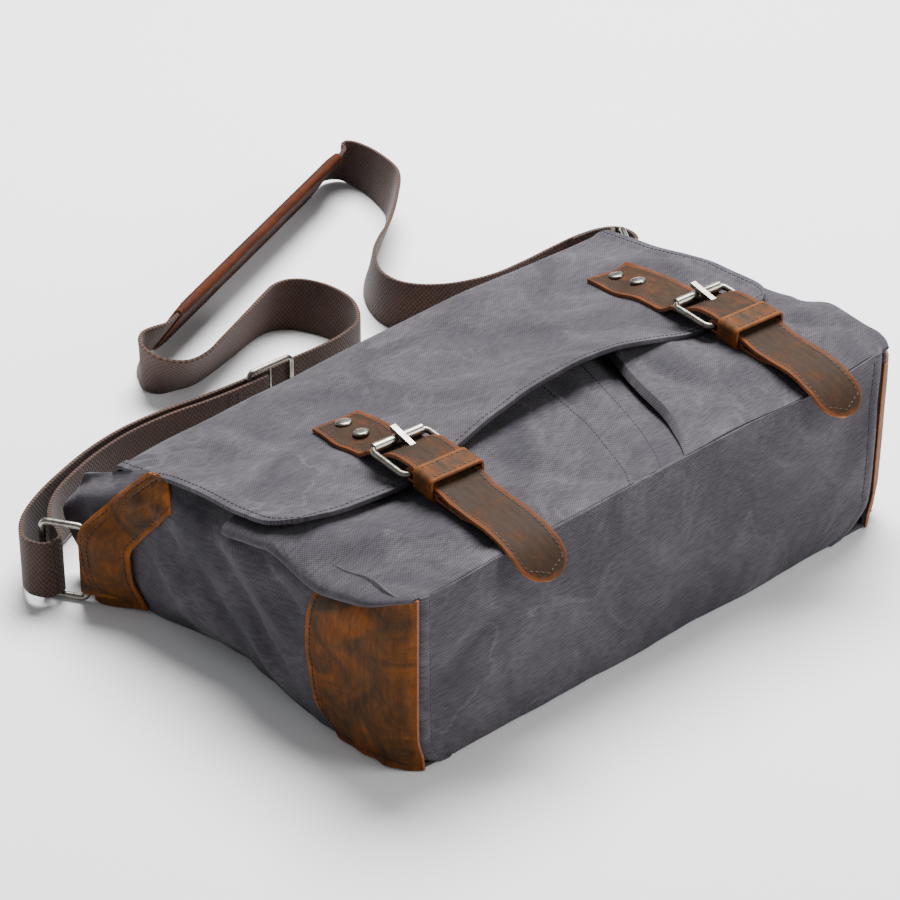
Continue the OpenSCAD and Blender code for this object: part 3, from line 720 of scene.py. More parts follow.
def round_rectangle(wide, tall, corner, step=7):
    """Corner-rounded rectangle about the origin, as pairs."""
    points = []
    for turn, (cx, cy) in enumerate([(1, 1), (-1, 1), (-1, -1), (1, -1)]):
        for i in range(step + 1):
            angle = math.pi / 2 * (turn + i / step)
            points.append((cx * (wide / 2 - corner) + corner * math.cos(angle),
                           cy * (tall / 2 - corner) + corner * math.sin(angle)))
    return points


def turned(name, profile, places, material, segments=24):
    """Spins a (radius, height) profile about its own axis and sets it at each place."""
    whole = bmesh.new()
    for place in places:
        one = bmesh.new()
        verts = [one.verts.new((r * MM, 0, z * MM)) for r, z in profile]
        edges = [one.edges.new(pair) for pair in zip(verts, verts[1:])]
        bmesh.ops.spin(one, geom=verts + edges, axis=(0, 0, 1), cent=(0, 0, 0), angle=math.tau,
                       steps=segments, use_merge=True)
        bmesh.ops.remove_doubles(one, verts=one.verts, dist=1e-7)
        bmesh.ops.recalc_face_normals(one, faces=one.faces)
        bmesh.ops.transform(one, matrix=place, verts=one.verts)
        part = bpy.data.meshes.new("turned")
        one.to_mesh(part)
        one.free()
        whole.from_mesh(part)
        bpy.data.meshes.remove(part)
    for face in whole.faces:
        face.smooth = True
    return finish_piece(whole, name, [material])


print("a 20 mm square wire has", len(round_rectangle(20, 20, 4)), "points")

# %% [markdown]
# ## Carrying strap
# One length of 38 mm webbing runs from the right ring along the floor, through the shoulder pad and
# the slide buckle, to the left ring, and its end comes back doubled to the slide buckle. It stands
# on its edge. The route's points are the ones of the solids: across, along and up in millimetres,
# and how far the webbing leans. Flat webbing only bends one way, so it is laid along the route as a
# narrow band; a simulation would twist it and lose its even width.

# %% Strap routes
STRAP_ROUTE = [
    (236.5, 189, 29.5, 0), (244.2, 176.5, 38, 0), (244.8, 162, 46, 0), (238.5, 153.5, 49.5, 0),
    (228, 149.5, 51, 0), (222.5, 143.5, 51, 0), (222.5, 136.5, 51, 0), (227, 131.5, 51, 0),
    (234, 130.5, 51, 0),
    (241, 134, 51, 0), (245.5, 144, 50, 0), (248, 160, 46, 0), (247, 177, 38, 0),
    (239, 191, 29, 0), (225, 199, 22, 0), (204, 201, 19.3, 0), (176, 201.5, 19.3, 0),
    (150, 209, 19.3, 0), (132, 221, 19.3, 0), (122, 237, 19.3, 0), (122, 256, 19.3, 3),
    (134, 279, 19.3, 9), (150, 295, 19.2, 15), (170, 310, 19, 20), (199, 334, 19, 17),
    (223, 358, 19.2, 12), (231, 382, 19.3, 6), (233, 402, 19.3, 0), (231, 415, 19.3, -8),
    (226, 420, 19.6, -25), (218, 419, 19.4, -34), (-24, 308, 19.4, -34), (-36, 303, 19.4, -23),
    (-46, 296, 19.3, -5), (-52, 287, 19.3, 4), (-52, 277, 19, 14), (-47, 269, 18, 26),
    (-37, 264, 16.6, 33), (-25, 263, 17, 30), (-12, 266, 18, 25), (18, 277, 18.6, 19),
    (44, 287, 19, 14), (57, 289.5, 19.2, 8), (68, 286, 19.3, 0), (76, 277, 19.3, -6),
    (82, 261, 19.3, -6), (83, 242, 19.5, -3), (77, 225, 20, 0), (66, 212, 21, 0),
    (48, 204.5, 22, 0), (28, 201.5, 22.6, 0), (6, 201.5, 22.6, 0), (-44, 201.5, 22.6, 0),
    (-68, 203.4, 22.2, 0), (-96, 207, 21.6, 0), (-126, 207.5, 21.2, 0), (-156, 202, 21.2, 0),
    (-184, 192, 21.6, 0), (-208, 181, 22.2, 0), (-228, 168, 23, 0), (-240, 155, 24, 0),
    (-244.5, 143, 25, 0), (-241, 134, 25, 0), (-237, 131.3, 25, 0),
    (-234.2, 131.3, 25, 0)]
RETURN_ROUTE = [
    (-233.8, 131.3, 25, 0), (-231, 131.3, 25, 0), (-227.5, 133, 25, 0), (-224.5, 140, 25, 0),
    (-222, 150, 25, 0), (-213, 163, 24, 0), (-198, 176, 22.8, 0), (-178, 186.5, 21.8, 0),
    (-154, 195.5, 21.2, 0), (-126, 201, 21.2, 0), (-96, 201, 21.6, 0), (-68, 197, 22.2, 0),
    (-44, 195.3, 22.6, 0),
    (-22, 195.3, 22.6, 0)]
WEB_W = 38.0
WEB_T = 2.4


def smooth_route(route, per_span=5):
    """Dense points on a smooth curve through the route, as (place, lean, distance along)."""
    spots = distances_along([p[:3] for p in route])
    knots = [(s, Vector(p)) for s, p in zip(spots, route)]
    dense = []
    for a, b in zip(spots, spots[1:]):
        count = max(per_span, round((b - a) / 9))
        for i in range(count):
            dense.append(a + (b - a) * i / count)
    dense.append(spots[-1])
    return [(s, curve(knots, s)) for s in dense]


def band_along(name, route, material):
    """Webbing along a route, standing on edge and leaning as the route says."""
    dense = smooth_route(route)
    places = [Vector(p[:3]) for _, p in dense]
    run = {}
    for i, (s, p) in enumerate(dense):
        ahead = places[min(i + 1, len(places) - 1)] - places[max(i - 1, 0)]
        ahead.z = 0
        ahead.normalize()
        side = Vector((ahead.y, -ahead.x, 0))
        lean = math.radians(p[3])
        run[s] = (places[i], Vector((0, 0, 1)) * math.cos(lean) + side * math.sin(lean))

    def place(across, along):
        middle, high = run[along]
        return (middle + high * across) * MM

    piece = cloth(name, [-19, -18.2, -16, -8, 0, 8, 16, 18.2, 19], [s for s, _ in dense], place,
                  WEB_T, [material], round_mm=0.5)
    path = [p * MM for p in places]
    length = sum((b - a).length for a, b in zip(path, path[1:]))
    print(name, "length", round(length, 3), "m")
    return piece, path, length


strap, strap_path, strap_length = band_along("strap_webbing", STRAP_ROUTE, webbing)
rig.ride(strap, "body")
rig.replaces(strap, "shoulder_strap")
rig.slot(strap, "webbing")
doubled, doubled_path, doubled_length = band_along("strap_webbing_return", RETURN_ROUTE, webbing)
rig.ride(doubled, "body")
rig.replaces(doubled, "strap_return")
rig.slot(doubled, "webbing")

# %% [markdown]
# The strap's end is sewn down beside the slide buckle with two rows of stitches across the webbing.
# The same beads as on the seams are used, a little thicker, as on load-bearing seams.

# %% Stitches on the strap
RETURN_FACE_Y = 195.3 - WEB_T / 2 - 0.1
strap_rows = [[Vector((x * MM, RETURN_FACE_Y * MM, (22.6 + h) * MM)) for h in range(-17, 18, 2)]
              for x in (-47.0, -54.0)]
strap_stitches = sew("strap_end_stitches", strap_rows, brown_thread, 3.0, 2.3, 0.45)
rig.ride(strap_stitches, "body")
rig.slot(strap_stitches, "webbing")

# %% [markdown]
# The slide buckle is a wire frame with a thin middle bar that the webbing's end goes round. Two
# wires are simpler than cutting a frame out of a plate, and they have the real one's round edges.

# %% Slide buckle
ADJ_X, ADJ_Y, ADJ_Z = -18.0, 198.4, 24.0
ADJ_LEN, ADJ_TALL, ADJ_R = 34.0, 44.4, 1.7


def adjuster_point(a, b):
    return Vector(((ADJ_X + a) * MM, ADJ_Y * MM, (ADJ_Z + b) * MM))


adjuster = wire("slide_buckle_frame", [adjuster_point(a, b) for a, b in
                round_rectangle(ADJ_LEN, ADJ_TALL, 4.0)], ADJ_R, nickel)
adjuster_bar = wire("slide_buckle_bar", [adjuster_point(0, -ADJ_TALL / 2), adjuster_point(0, ADJ_TALL / 2)],
                    0.8, nickel, cyclic=False)
for piece in (adjuster, adjuster_bar):
    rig.ride(piece, "body")
    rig.slot(piece, "nickel")
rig.replaces(adjuster, "strap_adjuster")

# %% [markdown]
# The shoulder pad is a flat leather sleeve, stitched along both long edges, that slides on the
# webbing. It could be two plates, but a closed band of cloth has the soft folded edges that leather
# has. It thins at its two ends.

# %% Shoulder pad
PAD_RIGHT = Vector((218, 419, 19.4))
PAD_LEFT = Vector((-24, 308, 19.4))
PAD_LEAN = math.radians(-34)
PAD_LEN, PAD_TALL, PAD_WIDE = 244.0, 42.0, 6.0
pad_ahead = (PAD_LEFT - PAD_RIGHT).normalized()
pad_side = Vector((pad_ahead.y, -pad_ahead.x, 0))
pad_high = Vector((0, 0, 1)) * math.cos(PAD_LEAN) + pad_side * math.sin(PAD_LEAN)
pad_flat = pad_side * math.cos(PAD_LEAN) - Vector((0, 0, 1)) * math.sin(PAD_LEAN)
PAD_RING = round_rectangle(PAD_WIDE, PAD_TALL, 2.6, 5)
PAD_RING.append(PAD_RING[0])
pad_girth = distances_along(PAD_RING, least=0.31)


def pad_point(around, along):
    flat, high = PAD_RING[min(range(len(pad_girth)), key=lambda i: abs(pad_girth[i] - around))]
    end = smooth(0, 12, min(along, PAD_LEN - along))
    high *= 0.96 + 0.04 * end
    flat *= 0.80 + 0.20 * end + 0.06 * ripple(along, high, 30)
    middle = (PAD_RIGHT + PAD_LEFT) / 2 + pad_ahead * (along - PAD_LEN / 2)
    return (middle + pad_high * high + pad_flat * flat) * MM


pad = cloth("shoulder_pad_sleeve", pad_girth, steps(0, PAD_LEN, 5, (1, 3)), pad_point, 1.4,
            [pad_leather, raw_edge], closed=True,
            edge_of=lambda a, b: min(b, PAD_LEN - b, 1.3 + PAD_TALL / 2 - abs(
                PAD_RING[min(range(len(pad_girth)), key=lambda i: abs(pad_girth[i] - a))][1])),
            round_mm=0.4)
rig.ride(pad, "shoulder_pad")
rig.replaces(pad, "shoulder_pad")
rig.slot(pad, "leather")


def pad_line(high, flat):
    return [((PAD_RIGHT + PAD_LEFT) / 2 + pad_ahead * a + pad_high * high + pad_flat * flat) * MM
            for a in range(-112, 113, 4)]


pad_stitches = sew("shoulder_pad_stitches", [pad_line(h, f) for h in (-17.0, 17.0) for f in (-3.75, 3.75)],
                   brown_thread)
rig.ride(pad_stitches, "shoulder_pad")
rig.slot(pad_stitches, "leather")
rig.cord(strap, exit=strap_path[0], length=strap_length, diameter=WEB_W * MM, far_end="object",
        stiffness="medium", lay="loose", path=strap_path, with_pieces=[pad, pad_stitches])
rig.cord(doubled, exit=doubled_path[0], length=doubled_length, diameter=WEB_W * MM, far_end="object",
        stiffness="medium", lay="loose", path=doubled_path,
        with_pieces=[adjuster, adjuster_bar, strap_stitches])

# %% [markdown]
# ## Rings and their leather tabs
# Each end of the strap hangs on a rectangular ring of 4 mm wire. A leather tab goes round the
# ring's inner bar and is caught under the side band. The tab is drawn in plan as one folded line
# and raised to its height, so both its plies and its turn are one piece of leather.

# %% Rings and tabs
RING_X, RING_V, RING_TURN = 219.8, 248.0, math.radians(33)
RING_TALL, RING_REACH, RING_R = 50.0, 26.0, 2.0
TAB_TALL = 40.0
SIDES = (("left", -1, 28.0), ("right", 1, 52.0))


def beside_ring(sign, out, off, z):
    """A point by its distance out along the ring's plane and off it."""
    x = RING_X + out * math.sin(RING_TURN) + off * math.cos(RING_TURN)
    v = RING_V + out * math.cos(RING_TURN) - off * math.sin(RING_TURN)
    return bag(sign * x, v, z)


def tab_path():
    """Plan of the tab: in along one ply, round the bar and back along the other."""
    loop = [(-20, -3.1), (-14, -3.2), (-8, -3.2), (-3, -3.2)]
    loop += [(3.2 * math.sin(a), -3.2 * math.cos(a)) for a in [math.pi * i / 8 for i in range(9)]]
    return loop + [(-3, 3.2), (-8, 3.2), (-14, 3.2), (-20, 3.1)]


TAB_PATH = tab_path()
for side, sign, height in SIDES:
    ring = wire("ring_wire_" + side, [beside_ring(sign, RING_REACH / 2 + a, 0, height + b) for a, b in
                round_rectangle(RING_REACH, RING_TALL, 4.0)], RING_R, nickel)
    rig.ride(ring, "ring_" + side)
    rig.replaces(ring, "ring_" + side)
    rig.slot(ring, "nickel")
    spots = distances_along(TAB_PATH)
    plan = dict(zip(spots, TAB_PATH))
    tab = cloth("ring_tab_leather_" + side, spots, steps(-TAB_TALL / 2, TAB_TALL / 2, 5, (1,)),
                lambda a, b: beside_ring(sign, *plan[a], height + b), 1.8, [panel_leather, raw_edge],
                round_mm=0.4)
    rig.ride(tab, "body")
    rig.replaces(tab, "ring_tab_" + side)
    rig.slot(tab, "leather")
print("rings and tabs made")

# %% [markdown]
# ## The flap's surface
# The flap is a heavy sheet that rises from its hem behind the mouth, turns over in a soft fold and
# slopes down over the front. Its free edge waves: it is pressed down where the two closing straps
# cross it and stands high between them. One function describes it all, so that the stitches, the
# lining and the straps can be laid on the same surface.

# %% Flap surface
FLAP_HALF, FLAP_ROUND, FLAP_RIM = 195.0, 24.0, 8.0
EDGE_V, EDGE_Z, FLAP_SLOPE = 93.0, 121.3, 0.2129
TURN_V = 238.0
FRONT_RUN = (TURN_V - EDGE_V) * math.hypot(1, FLAP_SLOPE)
EDGE_LIFT = [(-195, 2), (-185, 1.6), (-150, -4), (-113, -7), (-90, -5.5), (-70, 0), (-38, 7), (0, 11),
             (40, 12), (63, 9), (113, -5), (140, -7), (169, -7.7), (195, -8)]
EDGE_SHIFT = [(-195, 0), (-97, -4), (0, 3), (137, -3), (195, 0)]
CREST_LIFT = [(-195, 0), (-150, 3), (-57, 5), (22, 7), (105, 6), (195, 2)]
OVER_FOLD = [(238, 90.4), (243.5, 89.9), (247.5, 87), (250.5, 81.5), (253.5, 72), (257.5, 58),
             (263, 40), (268.5, 22), (274, 4.4)]
FLAP_CREASES = [((-185, 215), (-60, 120), 9, -2.2), ((-150, 232), (-120, 150), 7, 1.8),
                ((-60, 238), (-20, 140), 10, 1.8), ((20, 236), (70, 150), 9, -1.8),
                ((90, 232), (60, 128), 8, 1.8), ((180, 220), (100, 140), 9, -2.0),
                ((150, 235), (185, 150), 8, 2.0), ((-40, 175), (60, 165), 7, -1.4),
                ((-30, 105), (0, 150), 12, 1.5), ((50, 100), (30, 150), 10, -1.5)]
fold_knots = run_of(OVER_FOLD, FRONT_RUN)
FLAP_RUN = fold_knots[-1][0]


def flap_z(x, v):
    """Height of the flap's middle on its front, before it leans."""
    z = EDGE_Z - FLAP_SLOPE * (v - EDGE_V)
    z += curve(EDGE_LIFT, x) * (1 - smooth(93, 165, v)) + curve(CREST_LIFT, x) * smooth(195, 238, v)
    z += 1.2 * ripple(x, v, 46, 1) + 0.6 * ripple(x, v, 21, 2)
    z += 4.5 * bump(x, -200, 38) * bump(v, 188, 36)
    return z + sum(deep * fold(x, v, a, b, wide) for a, b, wide, deep in FLAP_CREASES)


def flap(a, r):
    """The flap's middle: a across, r from the free edge over the fold to the hem."""
    rim = 0.7 * (1 - smooth(FLAP_RIM - 1, FLAP_RIM + 0.5, min(FLAP_HALF - abs(a), r)))
    if r < FRONT_RUN:
        left = FLAP_ROUND - min(r, FLAP_ROUND)
        half = FLAP_HALF - FLAP_ROUND + math.sqrt(FLAP_ROUND**2 - left**2)
        still = FLAP_HALF - 30
        x = a if abs(a) < still else math.copysign(still + (abs(a) - still) * (half - still) / 30, a)
        v = EDGE_V + r / math.hypot(1, FLAP_SLOPE) + curve(EDGE_SHIFT, a) * (1 - smooth(0, 40, r))
        return rolled(x, v, flap_z(x, v) + rim)
    v, z = curve(fold_knots, r)
    share = smooth(10, 88, z)
    lift = curve(CREST_LIFT, a) * smooth(60, 90, z) + 1.2 * ripple(a, 238 + r - FRONT_RUN, 46, 1) * share
    return rolled(a, v + 0.8 * rim, z + lift + rim * share) * share + bag(a, v, z) * (1 - share)


def settle(piece):
    """Turns a piece's modifiers into its mesh, as a blended piece needs."""
    mesh = bpy.data.meshes.new_from_object(piece.evaluated_get(bpy.context.evaluated_depsgraph_get()))
    piece.modifiers.clear()
    piece.data = mesh
    mesh.name = piece.name
    return piece


print("flap run from edge to hem", round(FLAP_RUN), "mm")

# %% [markdown]
# The flap is made as two pieces that meet behind the fold. The lower one bends at the hem, the
# upper one over the fold. Its rim is turned in twice and held with one row of dark stitches, and
# its underside has a cloth lining.

# %% Flap
SPLIT_RUN = fold_knots[6][0]
HEM_START, HEM_END = bag(0, 273, 3), bag(0, 268, 20)
FOLD_START, FOLD_END = bag(0, 255.5, 66), bag(0, 235.5, 92)
flap_columns = steps(-FLAP_HALF, FLAP_HALF, 5, (1, 3, 5, 7, 8.5, 10))
hem_piece = settle(cloth("flap_canvas_hem", flap_columns, steps(SPLIT_RUN, FLAP_RUN, 4), flap, 2.6,
                         [canvas], round_mm=0.6))
front_rows = steps(0, SPLIT_RUN, 4, (1,))
front_rows = sorted(set(front_rows) | {3.0, 5.0, 7.0, 8.5, 10.0})
front_piece = settle(cloth("flap_canvas", flap_columns, front_rows, flap, 2.6, [canvas], round_mm=0.6))
flap_inner = settle(cloth("flap_inner_cloth", steps(-FLAP_HALF + 6, FLAP_HALF - 6, 6),
                          steps(6, SPLIT_RUN, 6), lambda a, r: lifted(flap, a, r, -2.1), 1.0,
                          [lining_cloth]))
rim_line = [(-191, SPLIT_RUN), (-191, 4), (191, 4), (191, SPLIT_RUN)]
rim_stitches = sew("flap_rim_stitches", [line_on(flap, rim_line, 1.45)], navy_thread, 3.6, 2.7, 0.42)
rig.blend(hem_piece, "body", "flap_back", start=HEM_START, end=HEM_END)
for piece in (front_piece, flap_inner, rim_stitches):
    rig.blend(piece, "flap_back", "flap_front", start=FOLD_START, end=FOLD_END)
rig.replaces(hem_piece, "flap_back")
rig.replaces(front_piece, "flap_front")
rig.replaces(flap_inner, "flap_lining")
for piece in (hem_piece, front_piece, rim_stitches):
    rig.slot(piece, "canvas")
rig.slot(flap_inner, "lining")

# %% [markdown]
# ## The body's cloth
# The two sides puff out between the floor and the pockets, and curl in under the flap. Everything
# that is sewn on a side follows the same surface, so the leather can't float off or sink in.

# %% Side surfaces and cloth
SIDE_OUT = [(0, 182), (5, 188.5), (12, 192.5), (25, 195.5), (73, 198.5), (153, 200), (223, 206),
            (290, 207)]
SIDE_TOP = [(0, 116), (30, 113), (60, 106), (90, 105), (120, 103), (150, 100), (195, 97), (217, 95),
            (236, 86), (254, 75), (273, 63), (290, 46)]
SIDE_CREASES = [((160, 88), (85, 22), 5, -4.2), ((140, 92), (78, 45), 4.5, 3.2),
                ((185, 75), (110, 10), 6, -3.8), ((120, 95), (76, 70), 4, -3.0),
                ((205, 60), (150, 5), 6, 3.2), ((210, 85), (165, 45), 5, -3.0),
                ((255, 20), (270, 60), 5, -2.4), ((120, 40), (90, 8), 4, 2.4)]


def tuck_under(v):
    """How far the side is drawn in at the floor."""
    return 9 * bump(v, 150, 48)


def side_x(sign, v, z):
    """How far out the side's cloth is at a place along and up."""
    x = curve(SIDE_OUT, v) - (5 + tuck_under(v)) * (1 - smooth(0, 26, z))
    x -= 12 * smooth(0.84, 1.02, z / curve(SIDE_TOP, v)) * smooth(0, 40, v)
    x += (2.0 * ripple(v, z, 36, 3 + sign) + 1.0 * ripple(v, z, 15, 7 + sign)) * smooth(0, 25, v)
    x += 5.5 * bump(v, 15, 17) * smooth(-1, 10, v) * (sign > 0)
    x += 2.5 * smooth(70, 110, v) * (1 - smooth(185, 215, v)) * math.sin(math.pi * min(1, z / 90))
    mirrored_v = v if sign < 0 else v - 9
    return x + sum(deep * fold(mirrored_v, z, a, b, wide) for a, b, wide, deep in SIDE_CREASES)


def on_side(sign, v, z, lift=0.0):
    return bag(sign * (side_x(sign, v, z) + lift), v, z)


for side, sign, _ in SIDES:
    def gusset(a, b, sign=sign):
        z = 1.3 + b / 100 * (curve(SIDE_TOP, a) - 1.3)
        v = a + (15 * bump(z, 42, 28) - 1) * smooth(215, 273, a)
        return on_side(sign, v, z, -1.2)
    piece = cloth("side_canvas_" + side, steps(1, 273, 5, (2,)), steps(0, 100, 4), gusset, 2.2,
                  [canvas], round_mm=0.5)
    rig.ride(piece, "body")
    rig.replaces(piece, "gusset_" + side)
    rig.slot(piece, "canvas")

# %% [markdown]
# ## Side leathers
# A corner leather covers the lower end of each side, and a leather band runs up beside the mouth,
# kinked where the side folds. Both are stitched 3 mm inside their edges. They are cut on the flat
# and laid on the side's surface, a leather's thickness above the cloth.

# %% Corner leathers and bands
CORNER_TOP = [(0, 115), (17, 112), (43, 104), (65, 98)]
CORNER_WIDE, CORNER_TALL = 72, 99
CORNER_EDGE = [(0, 53), (9, 57), (20, 63), (35, 69), (55, 72.5), (77, 71), (100, 64)]
BAND_LINE = [(229, 1.5), (232, 24), (234, 42), (230, 55), (213, 76), (197, 95)]
BAND_HALF = 14.5
band_knots = run_of(BAND_LINE)
BAND_RUN = band_knots[-1][0]
for side, sign, ring_z in SIDES:
    def corner(a, b, sign=sign):
        v = -1.6 + a / CORNER_WIDE * (1.6 + curve(CORNER_EDGE, b))
        z = 0.9 + b / CORNER_TALL * (curve(CORNER_TOP, v) - 0.9)
        crumple = 2.2 * ripple(v, z, 11, 4) * (1 - smooth(4, 26, z))
        return on_side(sign, v, z, 1.1 + crumple)

    def band(a, b, sign=sign, ring_z=ring_z):
        middle = curve(band_knots, b)
        ahead = (curve(band_knots, min(b + 6, BAND_RUN)) - curve(band_knots, max(b - 6, 0))).normalized()
        v, z = middle + Vector((ahead.y, -ahead.x)) * a
        over_tab = smooth(212, 247, v) * (1 - smooth(24, 42, abs(z - ring_z)))
        return on_side(sign, v, min(max(z, 1.2), curve(SIDE_TOP, v) + 0.5), 1.5 + 15 * over_tab)
    leather = cloth("corner_leather_skin_" + side, steps(0.6, CORNER_WIDE, 4, (1,)),
                    steps(0, CORNER_TALL, 4, (1,)), corner, 1.8, [panel_leather, raw_edge], round_mm=0.5)
    strip = cloth("side_band_leather_" + side, steps(-BAND_HALF, BAND_HALF, 3.5, (1,)),
                  steps(0, BAND_RUN, 3.5, (1,)), band, 1.8, [panel_leather, raw_edge], round_mm=0.5)
    up = sign * 1.2
    stitches = sew("side_leather_stitches_" + side, [
        line_on(corner, [(8, 4), (68.5, 4), (68.5, 95)], up),
        line_on(band, [(-11, 3), (-11, BAND_RUN)], up),
        line_on(band, [(11.5, 3), (11.5, BAND_RUN)], up), line_on(band, [(7.5, 3), (7.5, BAND_RUN)], up)],
        brown_thread)
    for piece in (leather, strip, stitches):
        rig.ride(piece, "body")
        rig.slot(piece, "leather")
    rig.replaces(leather, "corner_leather_" + side)
    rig.replaces(strip, "side_band_" + side)

# %% [markdown]
# ## Base, back, front and lining
# The base stands up with its board behind it, so it stays flat in the middle and only its upper
# edge wanders. Its ends are folded under and stitched. The back lies on the floor. Each is one
# panel of cloth, so their edges meet the sides as sewn edges do.

# %% Base and back panels
BASE_TOP = [(-184, 116), (-168, 114.5), (-124, 117), (-78, 118), (17, 120), (60, 121), (110, 119),
            (145, 121), (184, 125)]
BASE_TALL = 119.0
BASE_HALF = 184


def base_skin(a, b):
    half = 177 + 5 * smooth(0, 18, b) + b / BASE_TALL - (1.5 if a > 0 else 0)
    corner = 24 if a > 0 else 12
    if b < corner:
        half -= corner - math.sqrt(corner**2 - (corner - b)**2)
    x = a / BASE_HALF * half
    z = 1.2 + b / BASE_TALL * (curve(BASE_TOP, x) - 1.2)
    puff = 3.0 * bump(z, 62, 42) * (1 - (abs(x) / 190) ** 4)
    hem = 0.8 * (1 - smooth(7, 8.5, BASE_HALF - abs(a)))
    wave = 1.3 * ripple(x, z, 52, 9) + 0.5 * ripple(x, z, 20, 10)
    wrap = 3.5 * smooth(BASE_HALF - 3.5, BASE_HALF, abs(a))
    return bag(x, 0.6 - puff - hem - wave + wrap, z)


base_cloth = cloth("base_canvas", steps(-BASE_HALF, BASE_HALF, 5, (1, 3, 5, 7, 8.5, 10)),
                   steps(0, BASE_TALL, 4, (1,)), base_skin, 2.2, [canvas], round_mm=0.5)
base_runs = [line_on(base_skin, [(-176, 4), (-176, 115)], 1.2),
             line_on(base_skin, [(176, 22), (176, 115)], 1.2)]
base_stitches = sew("base_stitches", base_runs, navy_thread)


SHELL_HALF = 206.0        # half width of the back and front cloth as laid out
MOUTH_V = 273.0           # where the sides and back end at the mouth
FRONT_Z, FRONT_START, FRONT_FALL = 105.0, 2.4, 0.12205


def front_z(v):
    """Height of the inner front's outer face, which falls towards the mouth."""
    return FRONT_Z - FRONT_FALL * (v - FRONT_START)


def back_skin(a, b):
    return bag(a / SHELL_HALF * (curve(SIDE_OUT, b) - 5.5 - tuck_under(b)), b, 1.35)


back_cloth = cloth("back_canvas", steps(-SHELL_HALF, SHELL_HALF, 10, (1,)), steps(1, MOUTH_V, 10, (1,)),
                   back_skin, 2.4, [canvas], round_mm=0.5)


def front_skin(a, b):
    z = front_z(b) - 1.4
    return rolled(a / SHELL_HALF * (curve(SIDE_OUT, b) - 6), b, z + 0.5 * ripple(a, b, 40, 12))


front_cloth = cloth("front_canvas", steps(-SHELL_HALF, SHELL_HALF, 8, (1,)), steps(3, 240, 8, (1,)),
                    front_skin, 2.2, [canvas], round_mm=0.5)
for piece, node in ((base_cloth, "base_panel"), (back_cloth, "back_panel"), (front_cloth, "front_panel")):
    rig.ride(piece, "body")
    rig.replaces(piece, node)
    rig.slot(piece, "canvas")
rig.ride(base_stitches, "body")
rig.slot(base_stitches, "canvas")

# %% [markdown]
# The lining is a loose cloth box inside, seen only with the flap open. One closed ring of cloth,
# run from the base to the mouth, stands for its five solids.

# %% Lining
LINING_RING = round_rectangle(2, 2, 0.12, 4)
LINING_RING.append(LINING_RING[0])
lining_girth = [float(4 * i) for i in range(len(LINING_RING))]


def lining_skin(a, b):
    across, up = LINING_RING[round(a / 4)]
    low, high = 5.0, front_z(b) - 6
    half = curve(SIDE_OUT, b) - 8
    z = (low + high) / 2 + up * (high - low) / 2
    return bag(across * half, b, z + (across * half * math.sin(ROLL) if up > 0 else 0))


lining_piece = cloth("lining_cloth", lining_girth, steps(6, 234, 9, (1,)), lining_skin, 1.0,
                     [lining_cloth], closed=True)
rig.ride(lining_piece, "body")
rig.replaces(lining_piece, "lining_back", "lining_base", "lining_front", "lining_left", "lining_right")
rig.slot(lining_piece, "lining")
print("body cloth and lining made")

# %% [markdown]
# ## Front pockets
# Two bellows pockets and a narrow pen pocket between them stand on the front. Their faces end in
# the base seam and run up under the flap, where they are pressed down by it. The left pocket's
# outer corner is squashed; the right pocket is folded back along its inner edge. The faces share
# one height function, and each pocket adds how far it stands above it.

# %% Pocket surfaces
POCKET_RUN = 141.0
CORNER_RUN = 44           # cloth that turns down over a pocket's outer corner
LEFT_WIDE, RIGHT_WIDE, PEN_WIDE = 214, 200, 48
PEN_LINE = [(-1, -24.2), (17.8, -12.4), (42.8, -2.9), (70.6, 5.9), (105.5, 12.4), (141, 18)]
RIGHT_LINE = [(-1, 15.4), (14, 26), (37, 38.5), (68, 48), (108, 62.5), (141, 72)]
OUTER_CORNER = [(0, Vector((-3, -10))), (12, Vector((1, -6.5))), (24, Vector((-0.5, -2.6))),
                (34, Vector((-8, -0.6))), (44, Vector((-18, 0)))]
OUTER_EDGE = {-1: [(0, 184), (8, 191), (17, 196), (40, 198), (141, 200)],
              1: [(0, 184), (10, 192), (25, 199), (60, 203.5), (141, 204)]}
POCKET_CREASES = [((-180, 20), (-60, 8), 6, -1.8), ((-185, 80), (-120, 30), 8, 1.8),
                  ((-70, 85), (-30, 15), 8, -1.8), ((60, 85), (80, 10), 8, -1.6),
                  ((185, 85), (165, 5), 8, 2.0), ((195, 30), (160, 60), 7, -2.0)]


def face_z(x, v):
    """World height of the pocket faces' cloth."""
    z = curve(BASE_TOP, x) - 0.6 + (117.6 + x * math.sin(ROLL) - curve(BASE_TOP, x)) * smooth(0, 30, v)
    z += 1.1 * ripple(x, v, 40, 15) + sum(deep * fold(x, v, a, b, wide)
                                          for a, b, wide, deep in POCKET_CREASES)
    z -= (1 + 7 * bump(v, 65, 24)) * (1 - smooth(-196, -150, x)) * smooth(4, 30, v)
    under = flap_z(x, max(v, EDGE_V)) + x * math.sin(ROLL) - 5.0
    return z + min(0.0, under - z) * smooth(58, 90, v)


def pocket(sign, inner_line, wide, lift):
    def place(a, b):
        edge_x = curve(OUTER_EDGE[sign], b) + 1.5 * ripple(b, sign, 30, 17) * smooth(0, 20, b)
        if a <= CORNER_RUN:
            out, drop = curve(OUTER_CORNER, a)
            x = sign * (edge_x + out)
            drop *= smooth(-6, 45, b)
        else:
            inner = curve(inner_line, b)
            start = sign * (edge_x - 18)
            x, drop = start + (inner - start) * (a - CORNER_RUN) / (wide - CORNER_RUN), 0
        tuck = 4.2 * smooth(wide - 3, wide, a) if lift else 0
        z = face_z(x, b) + drop + (lift - tuck) * smooth(CORNER_RUN, 90, a) * (0.1 + 0.9 * smooth(0, 45, b))
        return bag(x, b, z)
    return place


